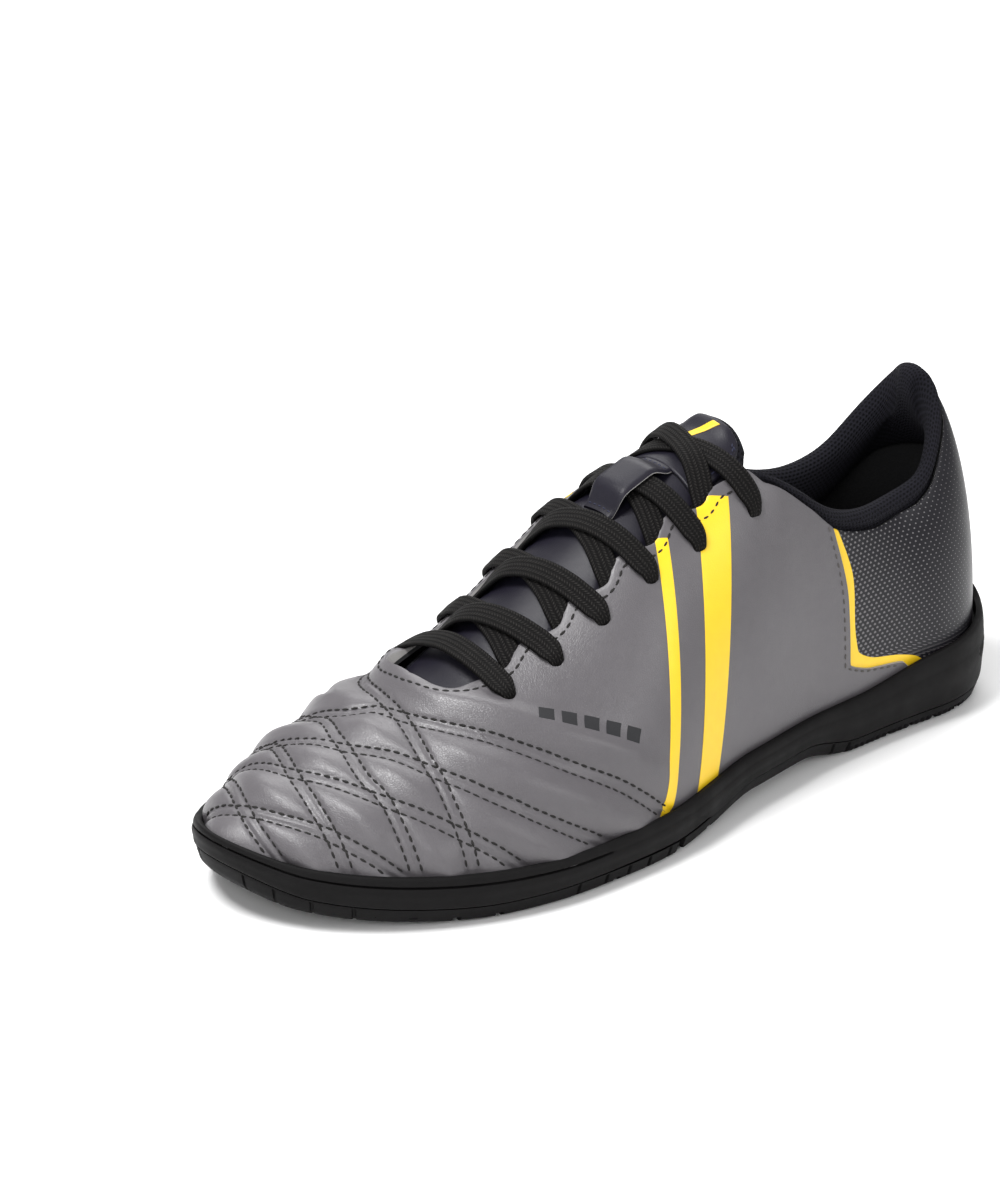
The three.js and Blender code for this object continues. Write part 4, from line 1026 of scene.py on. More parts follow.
eyestay_stitches = sew("eyestay_stitching", [throat_loop(2.8 * MM)], DARK_THREAD)


def seam_path(side, ahead):
    shares = np.linspace(0.06, 0.985, 90)
    ways = edge_ways(SEAM_BACK, shares, side) + ahead
    turns = ways if side < 0 else 2 - ways
    return last_point(turns, shares * opening_angle(turns))


seam_rows = [above_sole(seam_path(side, 0.0072), 1.2 * MM) for side in (-1, 1)]
seam_stitches = sew("heel_panel_stitching", seam_rows, SEAM_THREAD, width=0.7 * MM, length=1.9 * MM)


# Plain slanted band and a thin line beside it, on both sides.
def surface_strip(name, path, half, material, lift=0.16 * MM, columns=13):
    """A thin strip that lies on the upper along a path."""
    path, outs = settle(path)
    outs = evened(outs, 30)
    sideways = unit(np.cross(outs, unit(np.gradient(path, axis=0))))
    across = np.linspace(-1, 1, columns)
    rings = []
    for i, p in enumerate(path):
        width = half[i] if np.ndim(half) else half
        spots, normals = settle(p + sideways[i] * across[:, None] * width)
        top = spots + normals * (lift * np.where(np.abs(across) > 0.98, 0.7, 1.0))[:, None]
        low = spots - normals * 0.25 * MM
        rings.append(np.vstack([top, low[::-1]]))
    return capped_bar(name, rings, [material], sharp=60)


# Each band's way at the throat's edge and at the sole, half its width, and its columns.
SIDE_BANDS = {"side_band": (0.4334, 0.505, 5.2 * MM, 13), "side_line": (0.4918, 0.5634, 2 * MM, 5)}
BAND_TOP, BAND_FOOT_ANGLE, BAND_STEPS = 0.97, 0.3, 110


def band_path(top_way, foot_way, side):
    """The middle of a band, from just under the throat's edge down to the sole."""
    shares = np.linspace(BAND_TOP, 0.0, BAND_STEPS)
    ways = mix(foot_way, top_way, shares)
    turns, top_turn = (ways, top_way) if side < 0 else (2 - ways, 2 - top_way)
    return last_point(turns, np.maximum(opening_angle(top_turn)[0] * shares, BAND_FOOT_ANGLE))


bands = []
for side, label in ((-1, "outer"), (1, "inner")):
    for name, (top_way, foot_way, half, columns) in SIDE_BANDS.items():
        path = band_path(top_way, foot_way, side)
        bands.append(surface_strip(f"{name}_{label}", path, half, BAND, columns=columns))

# Blocks of the print: how many, turns and angles of the first and last, and half of each one's size.
BLOCKS = 5
BLOCK_TURNS, BLOCK_ANGLES = (0.583, 0.648), (29.5, 49)
BLOCK_TURN_HALF, BLOCK_ANGLE_HALF, BLOCK_HALF = 0.0055, 1.6, 2.2 * MM


def print_blocks():
    """A row of plain dark blocks above the quilting of the outer side."""
    made = []
    along = np.linspace(-1, 1, 12)
    for i in range(BLOCKS):
        turn, angle = [mix(*ends, i / (BLOCKS - 1)) for ends in (BLOCK_TURNS, BLOCK_ANGLES)]
        path = last_point(turn + BLOCK_TURN_HALF * along, angle + BLOCK_ANGLE_HALF * along)
        made.append(surface_strip(f"print_block_{i + 1}", path, BLOCK_HALF, PRINT, 0.08 * MM, 7))
    return made


bands += print_blocks()


# Lace: one flat braid, over the throat at the lowest eyelets and crossing up to the highest.
TONGUE_DEPTH = WALL + 3 * CLEARANCE
LACE_SIDES = 22
LACE_STEPS = 110
LACE_OVER, LACE_UNDER = 1.15 * MM, -0.55 * MM


def strand_start(row):
    return EYELETS[row + 1] - 0.95 * LACE_WIDTH / SHOE_LENGTH


def strand_route(row, side, arch):
    """Rows of share, across and lift, from under one flap over the other and into its eyelet."""
    start, end = strand_start(row), EYELETS[row]
    edge = float(THROAT_EDGE(start))
    low = -TONGUE_DEPTH + 0.1 * MM
    return [
        (EYELETS[row + 1] + 0.001, side * (EYELET_HALF - 0.5 * MM), low - 0.4 * MM),
        (mix(EYELETS[row + 1], start, 0.6), side * (EYELET_HALF - 3 * MM), low),
        (start, side * (edge + 1.5 * MM), low + 0.1 * MM),
        (mix(start, end, 0.1), side * (edge - 3 * MM), low + 1.3 * MM),
        (mix(start, end, 0.3), side * 0.45 * edge, arch - 0.5 * MM),
        (mix(start, end, 0.48), 0.0, arch),
        (mix(start, end, 0.68), -side * 0.5 * edge, arch - 0.2 * MM),
        (mix(start, end, 0.86), -side * (edge - 1 * MM), 0.45 * MM),
        (mix(start, end, 0.96), -side * (edge + 3 * MM), 0.3 * MM),
        (end, -side * (EYELET_HALF - 1.2 * MM), 0.3 * MM),
        (end, -side * (EYELET_HALF + 0.6 * MM), -0.8 * MM),
        (end, -side * (EYELET_HALF + 0.8 * MM), -3.2 * MM),
    ]


def bar_route():
    """The same rows for the bar at the lowest eyelets, from one side to the other."""
    share = EYELETS[-1]
    half = [
        (share, EYELET_HALF + 0.8 * MM, -3.2 * MM),
        (share, EYELET_HALF + 0.6 * MM, -0.8 * MM),
        (share, EYELET_HALF - 1.2 * MM, 0.3 * MM),
        (share, 0.8 * EYELET_HALF, 0.35 * MM),
        (share, 0.6 * EYELET_HALF, 0.3 * MM),
        (share, 0.3 * EYELET_HALF, 0.2 * MM),
    ]
    return half + [(share, 0.0, 0.2 * MM)] + [(s, -a, l) for s, a, l in half[::-1]]


def lace_rings(route):
    """Rings of the braid along a route, metres along and across it, and its middle line."""
    rows = round_path(np.array(route) * [SHOE_LENGTH, 1, 1], LACE_STEPS) / [SHOE_LENGTH, 1, 1]
    centre = crown(rows[:, 0], rows[:, 1], rows[:, 2] + LACE_THICKNESS / 2)
    out = crown_normal(rows[:, 0], rows[:, 1])
    centre, out = evened(centre, 4), evened(out, 4, 1)
    along = unit(np.gradient(centre, axis=0))
    across = unit(np.cross(along, out))
    up = np.cross(across, along)
    aside = np.abs(rows[:, 1])
    sunk = smooth(EYELET_HALF - 2.5 * MM, EYELET_HALF + 0.5 * MM, aside) * (rows[:, 2] > -TONGUE_DEPTH)
    sunk = np.maximum(sunk, (rows[:, 2] < -1.2 * MM) * (aside > EYELET_HALF - 0.4 * MM))
    sunk = evened(sunk, 4, 1)
    width = LACE_WIDTH * mix(1.0, 0.56, sunk)
    thick = LACE_THICKNESS * mix(1.0, 1.5, sunk)
    angle = 2 * np.pi * np.arange(LACE_SIDES) / LACE_SIDES
    x = np.sign(np.cos(angle)) * np.abs(np.cos(angle)) ** 0.8
    y = np.sign(np.sin(angle)) * np.abs(np.sin(angle)) ** 0.55
    ridged = 1 + 0.07 * np.cos(5 * np.pi * x)
    rings = (centre[:, None, :] + across[:, None, :] * (x[None, :] * width[:, None] / 2)[..., None]
             + up[:, None, :] * (y * ridged * thick[:, None] / 2)[..., None])
    uv = np.stack(np.broadcast_arrays(travelled(centre)[:, None], (x[None, :] + 1) * LACE_WIDTH / 2), -1)
    return rings, uv, centre


def build_lace():
    """The bar and the ten strands, with each one's middle line."""
    routes = [bar_route()]
    for row in range(len(EYELETS) - 1):
        over = -1 if row == 0 else 1
        routes += [strand_route(row, over, LACE_OVER), strand_route(row, -over, LACE_UNDER)]
    points, quads, uvs, centres = [], [], [], []
    base = 0
    for route in routes:
        rings, uv, centre = lace_rings(route)
        cells, _, _ = grid_quads(len(rings), LACE_SIDES, wrap_columns=True)
        quads += (cells + base).tolist()
        for end in (0, len(rings) - 1):
            ring = [base + end * LACE_SIDES + i for i in range(LACE_SIDES)]
            quads += [[ring[i], ring[i + 1], ring[-2 - i], ring[-1 - i]] for i in range(LACE_SIDES // 2 - 1)]
        points.append(rings.reshape(-1, 3))
        uvs.append(uv.reshape(-1, 2))
        centres.append(centre)
        base += rings.shape[0] * LACE_SIDES
    return make_mesh("lace", np.vstack(points), quads, [BRAID], uv=np.vstack(uvs)), centres


lace, lace_centres = build_lace()


# Tongue: padded sheet with a leather front. It gives way under the lace.
TONGUE_TOP, TONGUE_END = 0.36, 0.77
TONGUE_HALF = Curve([(TONGUE_TOP, 0.84), (0.37, 1.04), (0.42, 1.25), (0.55, 1.5), (0.7, 1.2),
                     (TONGUE_END, 0.9)], THROAT_HALF)
LEATHER_SPREAD = 0.72
TUCK_START, TUCK_END = 0.405, 0.375
LINING_END = mix(HEEL_TURN, TOE_TURN, 6 / 17)


def lining_thickness(way):
    return mix(LINING_THICKNESS, 0.45 * LINING_THICKNESS, smooth(0.3, LINING_END, way))


def tongue_depth(share, across):
    way = way_of(turn_at(share, -1))
    tuck = (lining_thickness(way) + CLEARANCE) * smooth(TUCK_START, TUCK_END, way)
    dip = 0.5 * TONGUE_THICKNESS * smooth(0.66, THROAT_FRONT, share)
    return TONGUE_DEPTH + dip + tuck * smooth(0.35 * THROAT_HALF, 0.9 * THROAT_HALF, np.abs(across))


def press_under_lace(points, normals, lift, gap=0.2 * MM):
    """Lowers a surface where the lace lies on it, with soft banks beside each strand."""
    strands = np.vstack([centre[::2] for centre in lace_centres])
    for start in range(0, len(points), 3000):
        part = slice(start, start + 3000)
        to = strands[None, :, :] - points[part][:, None, :]
        height = (to * normals[part][:, None, :]).sum(axis=2)
        aside = np.sqrt(np.maximum((to**2).sum(axis=2) - height**2, 0))
        bank = np.maximum(aside - 0.5 * LACE_WIDTH, 0)
        limit = height - LACE_THICKNESS / 2 - gap + 0.9 * bank
        limit = np.where(aside < 1.6 * LACE_WIDTH, limit, 1.0)
        lift[part] = np.minimum(lift[part], limit.min(axis=1))
    return lift


def build_tongue():
    """Leather on the front within LEATHER_SPREAD of the middle, and knit round the rest."""
    stations, columns = 150, 60
    shares = mix(TONGUE_TOP - 0.001, TONGUE_END, np.linspace(0, 1, stations))
    spread = np.linspace(-1, 1, columns)
    share = np.repeat(shares[:, None], columns, 1)
    across = TONGUE_HALF(shares)[:, None] * spread[None, :]
    skin = crown(share, across, 0.0)
    normal = crown_normal(share, across)
    depth = tongue_depth(share, across)
    edge = np.clip((1 - np.abs(spread)) / 0.16, 0, 1)
    round_edge = np.sqrt(1 - (1 - edge) ** 2)[None, :]
    from_top = np.clip((shares - shares[0]) / 0.012, 0, 1)
    round_top = np.sqrt(1 - (1 - from_top) ** 2)[:, None]
    swell = 0.9 * MM * np.cos(spread * np.pi / 2)[None, :] * smooth(0.74, 0.66, shares)[:, None]
    middle = -depth - TONGUE_THICKNESS / 2
    up = np.maximum(round_edge * round_top, 0.05)
    face = middle + TONGUE_THICKNESS / 2 * up + swell
    face = press_under_lace(skin.reshape(-1, 3), normal.reshape(-1, 3), face.reshape(-1)).reshape(face.shape)
    back = middle - TONGUE_THICKNESS / 2 * up
    face = np.maximum(face, back + 0.6 * MM * up)
    top = skin + normal * face[..., None]
    low = skin + normal * back[..., None]
    rings = np.concatenate([top, low[:, ::-1]], axis=1)
    run = np.repeat((shares - shares[0])[:, None] * SHOE_LENGTH, 2 * columns, 1)
    wide = np.concatenate([across, across[:, ::-1]], axis=1)

    def kinds(row, column):
        inside = column < columns - 1 and abs(spread[column] + spread[column + 1]) / 2 < LEATHER_SPREAD
        return 0 if inside and row > 1 else 1

    uv = np.stack([run, wide], -1)
    return capped_bar("tongue_pad", rings, [TONGUE_LEATHER, TONGUE_KNIT], kinds, uv)


tongue = build_tongue()
TONGUE_SKIN = tree_of(tongue)


# Patch on the tongue's top, with a rounded upper end and a stitched border.
PATCH_FOOT = 0.437
PATCH_TOP = TONGUE_TOP + 0.002
PATCH_HALF = 0.9 * THROAT_HALF
BORDER_INSET = 2 * MM


def patch_half(share):
    down = np.sqrt(np.clip((share - PATCH_TOP) / (PATCH_FOOT - PATCH_TOP), 0, 1))
    return PATCH_HALF * np.sqrt(1 - (1 - down) ** 4)


def on_tongue(share, across, lift):
    points = crown(share, across, -tongue_depth(share, across) + 0.8 * MM)
    shape = points.shape
    outs = crown_normal(share, across).reshape(-1, 3)
    spots = []
    for p, out in zip(points.reshape(-1, 3), outs):
        hit = TONGUE_SKIN.ray_cast(Vector(p + out * 6 * MM), Vector(-out))
        spots.append(np.array(hit[0]) if hit[0] is not None else p)
    return (np.array(spots) + outs * lift).reshape(shape)


def build_patch():
    stations, columns = 56, 40
    shares = PATCH_TOP + (PATCH_FOOT - PATCH_TOP) * np.linspace(0.004, 1, stations) ** 2
    spread = np.linspace(-1, 1, columns)
    rings = []
    for i, share in enumerate(shares):
        across = patch_half(share) * spread
        near = (1 - np.abs(spread)) * patch_half(share)
        ends = min((i + 0.2) / 5, 1)
        round_off = np.sqrt(1 - (1 - np.clip(near / (0.8 * MM), 0, 1)) ** 2) * ends
        top = on_tongue(np.full(columns, share), across, CLEARANCE + PATCH_THICKNESS)
        low = on_tongue(np.full(columns, share), across, 0.02 * MM)
        top = low + (top - low) * np.maximum(round_off, 0.15)[:, None]
        rings.append(np.vstack([top, low[::-1]]))
    return capped_bar("tongue_top_patch", rings, [TONGUE_LEATHER])


patch = build_patch()
PATCH_SKIN = tree_of(patch)


def patch_border():
    """The stitch line inside the patch's edge, down one side, round the top and down the other."""
    shares = PATCH_TOP + 0.007 + (PATCH_FOOT - PATCH_TOP - 0.012) * np.linspace(0, 1, 40) ** 1.5
    across = np.maximum(patch_half(shares) - BORDER_INSET, 0.2 * MM)
    left, right = [crown(shares, side * across, -TONGUE_DEPTH + 1.5 * MM) for side in (1, -1)]
    return round_path(np.vstack([left[::-1], right])[::2], 240)


patch_stitches = sew("patch_stitching", [patch_border()], NAVY_THREAD, PATCH_SKIN, 1.5 * MM, 0.5 * MM, 0.4 * MM,
                     pitch=2.1 * MM)


def patch_bar():
    """One plain bar on the patch, in the place of its mark."""
    shares = np.linspace(0.3655, 0.393, 24)
    rings = []
    for i, share in enumerate(shares):
        spread = np.linspace(-1, 1, 7)
        across = spread * 1.5 * MM + mix(-3.0 * MM, 3.0 * MM, i / 23)
        base = crown(np.full(7, share), across, -TONGUE_DEPTH + 2 * MM)
        spots, normals = settle(base, PATCH_SKIN)
        rings.append(np.vstack([spots + normals * 0.12 * MM, (spots - normals * 0.2 * MM)[::-1]]))
    return capped_bar("patch_bar", rings, [BAND])


patch_mark = patch_bar()


# Leather loop that keeps the second crossing in place, with its middle at that crossing.
LOOP_ROW = 1
LOOP_SHARE = mix(strand_start(LOOP_ROW), EYELETS[LOOP_ROW], 0.44)


def build_loop():
    over = LACE_OVER + LACE_THICKNESS + 0.5 * MM
    along = np.linspace(-1, 1, 70)
    spread = np.linspace(-1, 1, 17)
    rings = []
    for t in along:
        share = LOOP_SHARE + t * LOOP_LENGTH / 2 / SHOE_LENGTH
        across = spread * LOOP_WIDTH / 2
        ground = CLEARANCE - tongue_depth(share, across) + 0.9 * MM
        rise = mix(ground, over, smooth(0.97, 0.4, abs(t)))
        edge = np.sqrt(1 - np.clip((np.abs(spread) - 0.86) / 0.14, 0, 1) ** 2)
        top = crown(np.full(17, share), across, rise + LOOP_LEATHER * (0.4 + 0.6 * edge))
        low = crown(np.full(17, share), across, rise + LOOP_LEATHER * 0.1)
        rings.append(np.vstack([top, low[::-1]]))
    rings = evened(rings, 16)

    def kinds(row, column):
        return 1 if column in (16, 33) else 0

    return capped_bar("tongue_loop", rings, [TONGUE_LEATHER, CUT_EDGE], kinds, None, 50)


loop = build_loop()
LOOP_SKIN = tree_of(loop)


def loop_rows():
    """A short row of stitches across each end of the loop."""
    rows = []
    for end in (-1, 1):
        share = LOOP_SHARE + end * 0.93 * LOOP_LENGTH / 2 / SHOE_LENGTH
        across = np.linspace(-0.42, 0.42, 12) * LOOP_WIDTH
        rows.append(crown(np.full(12, share), across, 1.0 * MM))
    return rows


loop_stitches = sew("loop_stitching", loop_rows(), NAVY_THREAD, LOOP_SKIN, 1.3 * MM, 0.45 * MM, 0.4 * MM,
                    pitch=1.8 * MM)


# Collar lining: padded knit roll over the leather edge.
LINING_FOOT, LINING_MIDDLE = 0.6, 0.8
LINING_SIDES, LINING_CREST = 48, 14


def lining_section(turn):
    turn = np.array([turn])
    way = way_of(turn)
    thick = lining_thickness(way)[0]
    rise = mix(LINING_RISE, 0.5 * LINING_RISE, smooth(0.3, LINING_END, way))[0]
    angle = opening_angle(turn)
    edge = last_point(turn, angle)[0]
    out = last_normal(turn, angle)[0]
    flat = np.array([out[0], out[1], 0]) / np.hypot(out[0], out[1])
    gap = WALL + CLEARANCE

    def inside(part, depth):
        return lifted(turn, part * angle, np.array([-depth]))[0]

    def roll(inward, up):
        return edge - flat * inward + np.array([0, 0, up])

    return [
        inside(LINING_FOOT, gap), inside(LINING_MIDDLE, gap), inside(1, gap + 0.2 * MM),
        roll(0.2 * thick, CLEARANCE + 0.35 * rise), roll(0.42 * thick, 0.9 * rise), roll(0.68 * thick, rise),
        roll(0.95 * thick, 0.88 * rise), roll(thick + 0.7 * WALL, 0.4 * rise), inside(1, gap + thick),
        inside(LINING_MIDDLE, gap + thick), inside(LINING_FOOT, gap + 0.4 * thick),
    ]


def build_lining():
    turns = np.linspace(-LINING_END, LINING_END, 300)
    sections = evened([lining_section(turn) for turn in turns], 60)
    rings = np.array([round_path(section, LINING_SIDES, closed=True) for section in sections])
    along = travelled(rings[:, LINING_CREST])
    uvs = [np.stack([np.full(LINING_SIDES, far), travelled(ring)], -1) for far, ring in zip(along, rings)]
    return capped_bar("collar_padding", rings, [KNIT], None, uvs)


collar = build_lining()


# Sole. Rings follow the plan at a distance in from its widest line.
SOLE_TURNS = np.linspace(0, 2, 900, endpoint=False)


def sole_ring(distance, height, turns=SOLE_TURNS):
    plan = inset(turns, np.broadcast_to(distance, turns.shape))
    heights = height(share_at(plan[:, 0])) if callable(height) else height
    return np.column_stack([plan, np.broadcast_to(heights, turns.shape)])


def middle_ring(height, part, turns=SOLE_TURNS):
    plan = mix(spine(turns, lambda share: 0 * share), outline(turns), part)
    return np.column_stack([plan, height(share_at(plan[:, 0]))])


def tread_top(share):
    return UNDER(share) + TREAD_THICKNESS


def footbed(share):
    return RIM(share) - LIP_HEIGHT


# Profile of the side wall: climb from the tread to the rim, and distance in from the widest line.
WALL_PROFILE = Curve([(0, 1.2), (0.03, 0.72), (0.1, 0.5), (0.28, 0.3), (0.5, 0), (0.6, 0.1), (0.68, 0.3),
                      (0.8, 0.45), (0.9, 0.7), (0.96, 1.0), (1, 1.5)], MM)
WALL_CLIMBS = np.unique(np.concatenate([
    np.linspace(0, 0.1, 5), np.linspace(0.1, 0.62, 14), np.linspace(0.62, 0.78, 15), np.linspace(0.78, 1, 10)]))


def dent(at, middle, half, soft):
    """1 within half of the middle, and down to 0 over the soft width beyond."""
    return smooth(half + soft, half, np.abs(at - middle))


# Depths of the groove near the rim, of the step where the layers overlap, and of the heel's slits.
RIM_GROOVE, OVERLAP_STEP, HEEL_SLIT = 1.0 * MM, 0.55 * MM, 0.6 * MM
SLIT_CLIMBS, SLIT_WAY = (0.5, 0.6), 0.095


def wall_inset(turns, climb):
    """How far the side wall stands in: groove near the rim, pointed overlap and short heel slits."""
    share = share_of(turns)
    groove_climb = 0.70 + 0.02 * np.sin(share * 9)
    into = np.full(share.shape, float(WALL_PROFILE(climb)))
    into += RIM_GROOVE * smooth(0.655, 0.665, share) * dent(climb, groove_climb, 0.022, 0.02)
    overlap = mix(0.505, 0.565, climb)
    into += OVERLAP_STEP * smooth(overlap, overlap + 0.004, share) * smooth(0.75, 0.6, share)
    for level in SLIT_CLIMBS:
        into += HEEL_SLIT * dent(climb, level, 0.016, 0.012) * dent(way_of(turns), SLIT_WAY, 0.03, 0.004)
    return into


def build_midsole():
    def seat(share):
        return tread_top(share) + CLEARANCE

    rings = [middle_ring(seat, part) for part in (0, 0.5)] + [sole_ring(1.25 * MM, seat)]
    for climb in WALL_CLIMBS:
        into = wall_inset(SOLE_TURNS, climb)
        low = seat(share_of(SOLE_TURNS))
        plan = inset(SOLE_TURNS, into)
        share = share_at(plan[:, 0])
        rings.append(np.column_stack([plan, mix(seat(share), RIM(share), climb)]))
    for part in (0.62, 0.8, 1.0):
        drop = 0.25 * MM * (part - 0.62) / 0.38
        rings.append(sole_ring(LIP_THICKNESS * part, lambda share: RIM(share) - drop))
    rings += [sole_ring(LIP_THICKNESS, footbed), sole_ring(INSOLE_EDGE, footbed)]
    rings += [middle_ring(footbed, part) for part in (0.5, 0)]
    quads, _, _ = grid_quads(len(rings), len(SOLE_TURNS), wrap_columns=True)
    return make_mesh("sole_wall", np.array(rings), quads, [RUBBER], sharp=48)


# Cuts across the tread's side, by turn, and the wide notch where the forefoot's tread ends.
TREAD_CUTS = [0.31, 0.33, 0.562, 0.587, 0.61, 0.635, 0.665, 0.85, 0.885, 0.92, 0.955]
TREAD_NOTCH = 0.547


def tread_inset(turns, climb):
    """How far the tread's side stands in: its draft and shoulder, the cuts and the heel's ribs."""
    way = way_of(turns)
    ball = np.interp(way, [0, HEEL_TURN, TOE_TURN, 1], [0, 0.057, 0.24, 0.36])
    into = mix(0.55 * TREAD_DRAFT, TREAD_SHOULDER, smooth(0.2, 1, climb)) + 0 * way
    into += mix(0.45 * TREAD_DRAFT, 0, smooth(0, 0.3, climb))
    for cut in TREAD_CUTS:
        into += 0.8 * MM * dent(way, cut, 0.0011, 0.0008) * smooth(1.0, 0.85, climb)
    into += 2.6 * MM * dent(way, TREAD_NOTCH, 0.0028, 0.0012)
    heel_lugs = smooth(0.32, 0.3, way) * smooth(0.14, 0.16, way) * smooth(0.62, 0.5, climb)
    ribs = smooth(-0.35, 0.35, np.sin(2 * np.pi * ball / (2.4 * MM)))
    into += 0.8 * MM * heel_lugs * ribs
    return into


CUT_WAYS = np.concatenate([np.linspace(cut - 0.003, cut + 0.003, 13) for cut in TREAD_CUTS]
                          + [np.linspace(TREAD_NOTCH - 0.005, TREAD_NOTCH + 0.005, 13)])
TREAD_TURNS = np.unique(np.round(np.concatenate(
    [np.linspace(0, 2, 1100, endpoint=False), CUT_WAYS, 2 - CUT_WAYS]), 6))


def build_tread():
    turns = TREAD_TURNS
    rings = [middle_ring(UNDER, part, turns) for part in (0, 0.5)]
    for climb in (0, 0.06, 0.2, 0.35, 0.5, 0.58, 0.66, 0.8, 0.9, 0.96, 1.0):
        plan = inset(turns, tread_inset(turns, climb) + (0.5 * MM if climb == 0 else 0))
        share = share_at(plan[:, 0])
        rings.append(np.column_stack([plan, mix(UNDER(share), tread_top(share), climb)]))
    rings += [middle_ring(tread_top, part, turns) for part in (0.5, 0)]
    quads, _, _ = grid_quads(len(rings), len(turns), wrap_columns=True)
    return make_mesh("tread", np.array(rings), quads, [RUBBER], sharp=45)


FORE_GROOVES = [0.5, 0.545, 0.59, 0.635, 0.775, 0.82, 0.865, 0.905, 0.945]
HEEL_GROOVES = [0.03, 0.065, 0.1, 0.135, 0.17, 0.205]
PIVOT_SHARE = 0.705


def groove_block(path, closed):
    """A cutter along points of the plan that leaves the groove's depth under the tread."""
    path = np.array(path)
    ahead = np.roll(path, -1, 0) if closed else np.vstack([path[1:], path[-1]])
    behind = np.roll(path, 1, 0) if closed else np.vstack([path[0], path[:-1]])
    along = unit(ahead - behind)
    side = np.stack([-along[:, 1], along[:, 0]], -1) * GROOVE_WIDTH / 2
    top = UNDER(share_at(path[:, 0])) + GROOVE_DEPTH
    low = np.full(len(path), -TREAD_THICKNESS)
    rings = [np.column_stack([path - side, low]), np.column_stack([path + side, low]),
             np.column_stack([path + side, top]), np.column_stack([path - side, top])]
    return np.stack(rings, axis=1)


def chevron(share):
    bends = {-1: -1.2, -0.36: 1, 0: -1, 0.36: 1, 1: -1.2}
    return [(length_at(share) + bend * 2 * GROOVE_WIDTH, PLAN_CENTRE(share) + t * BALL_WIDTH / 2)
            for t, bend in bends.items()]


def cut_tread(piece):
    """Chevron grooves across the tread's underside and the round groove under the ball."""
    cutters = [capped_bar("groove_cutter", groove_block(chevron(share), False), [RUBBER])
               for share in FORE_GROOVES + HEEL_GROOVES]
    angles = np.arange(0, 360, 6)
    ring = [(length_at(PIVOT_SHARE) + PIVOT_RADIUS * math.cos(math.radians(a)),
             PLAN_CENTRE(PIVOT_SHARE) + PIVOT_RADIUS * math.sin(math.radians(a))) for a in angles]
    block = groove_block(ring, True)
    quads, _, _ = grid_quads(len(block), 4, wrap_rows=True, wrap_columns=True)
    cutters.append(make_mesh("groove_cutter", block, quads, [RUBBER]))
    for cutter in cutters:
        cut = piece.modifiers.new("groove", "BOOLEAN")
        cut.operation = "DIFFERENCE"
        cut.solver = "FAST"
        cut.object = cutter
    apply_modifiers(piece)
    for cutter in cutters:
        bpy.data.objects.remove(cutter)


midsole = build_midsole()
tread = build_tread()
cut_tread(tread)
finish_mesh(tread, 45)


def build_insole():
    turns = np.linspace(0, 2, 500, endpoint=False)

    def low(share):
        return footbed(share) + CLEARANCE

    def high(share):
        return low(share) + INSOLE_THICKNESS

    rings = [middle_ring(low, part, turns) for part in (0, 0.5)] + [sole_ring(INSOLE_EDGE, low, turns)]
    for angle in np.radians(np.arange(0, 91, 15)):
        into = INSOLE_EDGE + 0.4 * MM + 1.8 * MM * (1 - math.cos(angle))
        drop = 1.2 * MM * (1 - math.sin(angle))
        rings.append(sole_ring(into, lambda share: high(share) - drop, turns))
    rings += [middle_ring(high, part, turns) for part in (0.7, 0.5, 0.25, 0)]
    quads, _, _ = grid_quads(len(rings), len(turns), wrap_columns=True)
    return make_mesh("footbed", np.array(rings), quads, [FOOTBED_KNIT])


insole = build_insole()

# Stage, light and camera.
PIVOT = Vector((0, 0, 40 * MM))
AZIMUTH, ELEVATION, ROLL = -42.0, 24.5, 0.5
DISTANCE = 1400 * MM
FOCAL_PIXELS = 4741.58
FRAME_HEIGHT = 1202
AIM_RIGHT, AIM_UP = -33.93 * MM, 16.57 * MM
SENSOR = 36.0
VIEW_REACH = 20
FLOOR_HALF = 3.0
FLOOR_GREY = (0.9, 0.9, 0.9)
SKY_STRENGTH = 0.5
# Softboxes: name, place, aim, size and power.
SOFTBOXES = [
    ("key", (-0.55, 0.15, 1.25), (-0.02, 0, 0.04), (0.5, 0.5), 21),
    ("front", (-1.3, -1.0, 0.9), (0, 0, 0.05), (0.7, 0.7), 7),
    ("back", (1.3, 1.4, 1.5), (1.0, 1.1, 0), (1.6, 1.6), 34),
    ("side", (0.5, -1.5, 0.9), (0.02, 0, 0.05), (0.9, 0.5), 7),
]


def camera_axes(azimuth, elevation):
    a, e = math.radians(azimuth), math.radians(elevation)
    back = Vector((math.sin(a) * math.cos(e), -math.cos(a) * math.cos(e), math.sin(e)))
    right = Vector((math.cos(a), math.sin(a), 0))
    return back, right, back.cross(right)


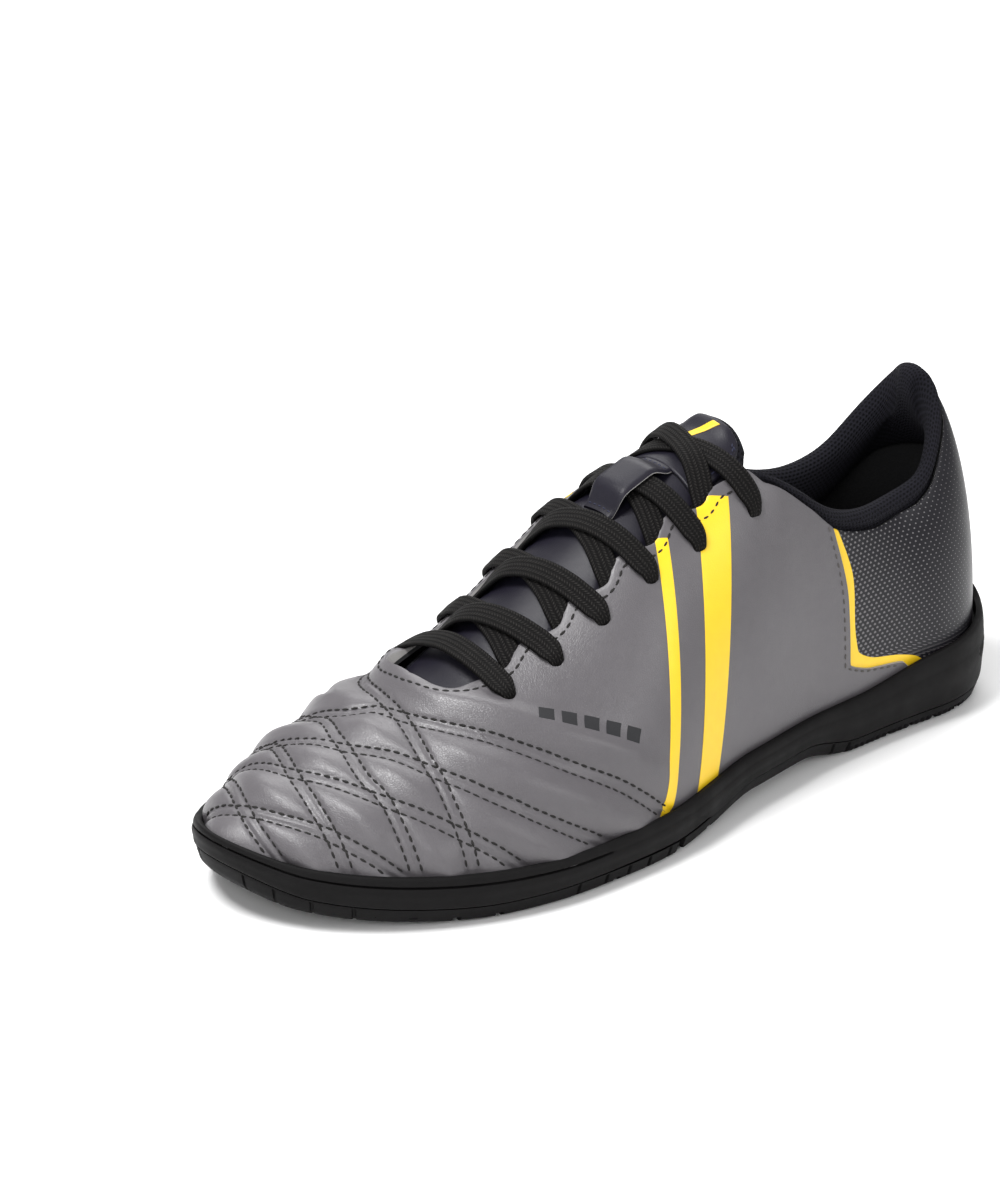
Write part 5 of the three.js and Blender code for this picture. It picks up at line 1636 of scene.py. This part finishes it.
def place_camera():
    back, right, up = camera_axes(AZIMUTH, ELEVATION)
    eye = PIVOT + back * DISTANCE
    aim = PIVOT + right * AIM_RIGHT + up * AIM_UP
    forward = (aim - eye).normalized()
    side = forward.cross(Vector((0, 0, 1))).normalized()
    top = side.cross(forward)
    roll = math.radians(ROLL)
    x = side * math.cos(roll) + top * math.sin(roll)
    y = top * math.cos(roll) - side * math.sin(roll)
    camera = placed("camera", bpy.data.cameras.new("camera"))
    matrix = camera.matrix_world.copy()
    for k in range(3):
        matrix[k][0], matrix[k][1], matrix[k][2], matrix[k][3] = x[k], y[k], -forward[k], eye[k]
    camera.matrix_world = matrix
    camera.data.sensor_width = SENSOR
    camera.data.lens = FOCAL_PIXELS / FRAME_HEIGHT * SENSOR
    camera.data.clip_end = VIEW_REACH
    bpy.context.scene.camera = camera


def softbox(name, place, aim, size, power):
    light = bpy.data.lights.new(name, "AREA")
    light.shape = "RECTANGLE"
    light.size, light.size_y = size
    light.energy = power
    lamp = placed(name, light)
    lamp.location = place
    lamp.rotation_euler = (Vector(aim) - Vector(place)).to_track_quat("-Z", "Y").to_euler()


def build_stage():
    corners = [(FLOOR_HALF * x, FLOOR_HALF * y, 0) for x, y in ((-1, -1), (1, -1), (1, 1), (-1, 1))]
    mesh = bpy.data.meshes.new("floor")
    mesh.from_pydata(corners, [], [(0, 1, 2, 3)])
    mesh.materials.append(Finish("pale_floor", FLOOR_GREY, 0.85).material)
    floor = placed("floor", mesh)
    world = bpy.data.worlds.new("studio")
    world.use_nodes = True
    world.node_tree.nodes["Background"].inputs["Color"].default_value = (1, 1, 1, 1)
    world.node_tree.nodes["Background"].inputs["Strength"].default_value = SKY_STRENGTH
    bpy.context.scene.world = world
    for box in SOFTBOXES:
        softbox(*box)
    bpy.context.scene.view_settings.view_transform = "Standard"


place_camera()
build_stage()

PIECES = [
    (upper, "upper", ["upper"]), (quilting, "upper", []), (eyestay_stitches, "upper", []),
    (seam_stitches, "upper", []), (collar, "collar_lining", ["collar_lining"]), (tongue, "tongue", ["tongue"]),
    (patch, "tongue_patch", ["tongue_patch"]), (patch_stitches, "tongue_patch", []),
    (patch_mark, "tongue_patch", []), (loop, "lace_loop", ["lace_loop"]), (loop_stitches, "lace_loop", []),
    (insole, "insole", ["insole"]), (midsole, "midsole", ["midsole"]), (tread, "outsole", ["outsole"]),
    (lace, "lace", ["lace_bar"] + [f"lace_cross_{i}" for i in range(1, 6)]),
] + [(band, "upper", []) for band in bands]
for piece, slot, nodes in PIECES:
    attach(piece, "root")
    if nodes:
        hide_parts(*nodes)
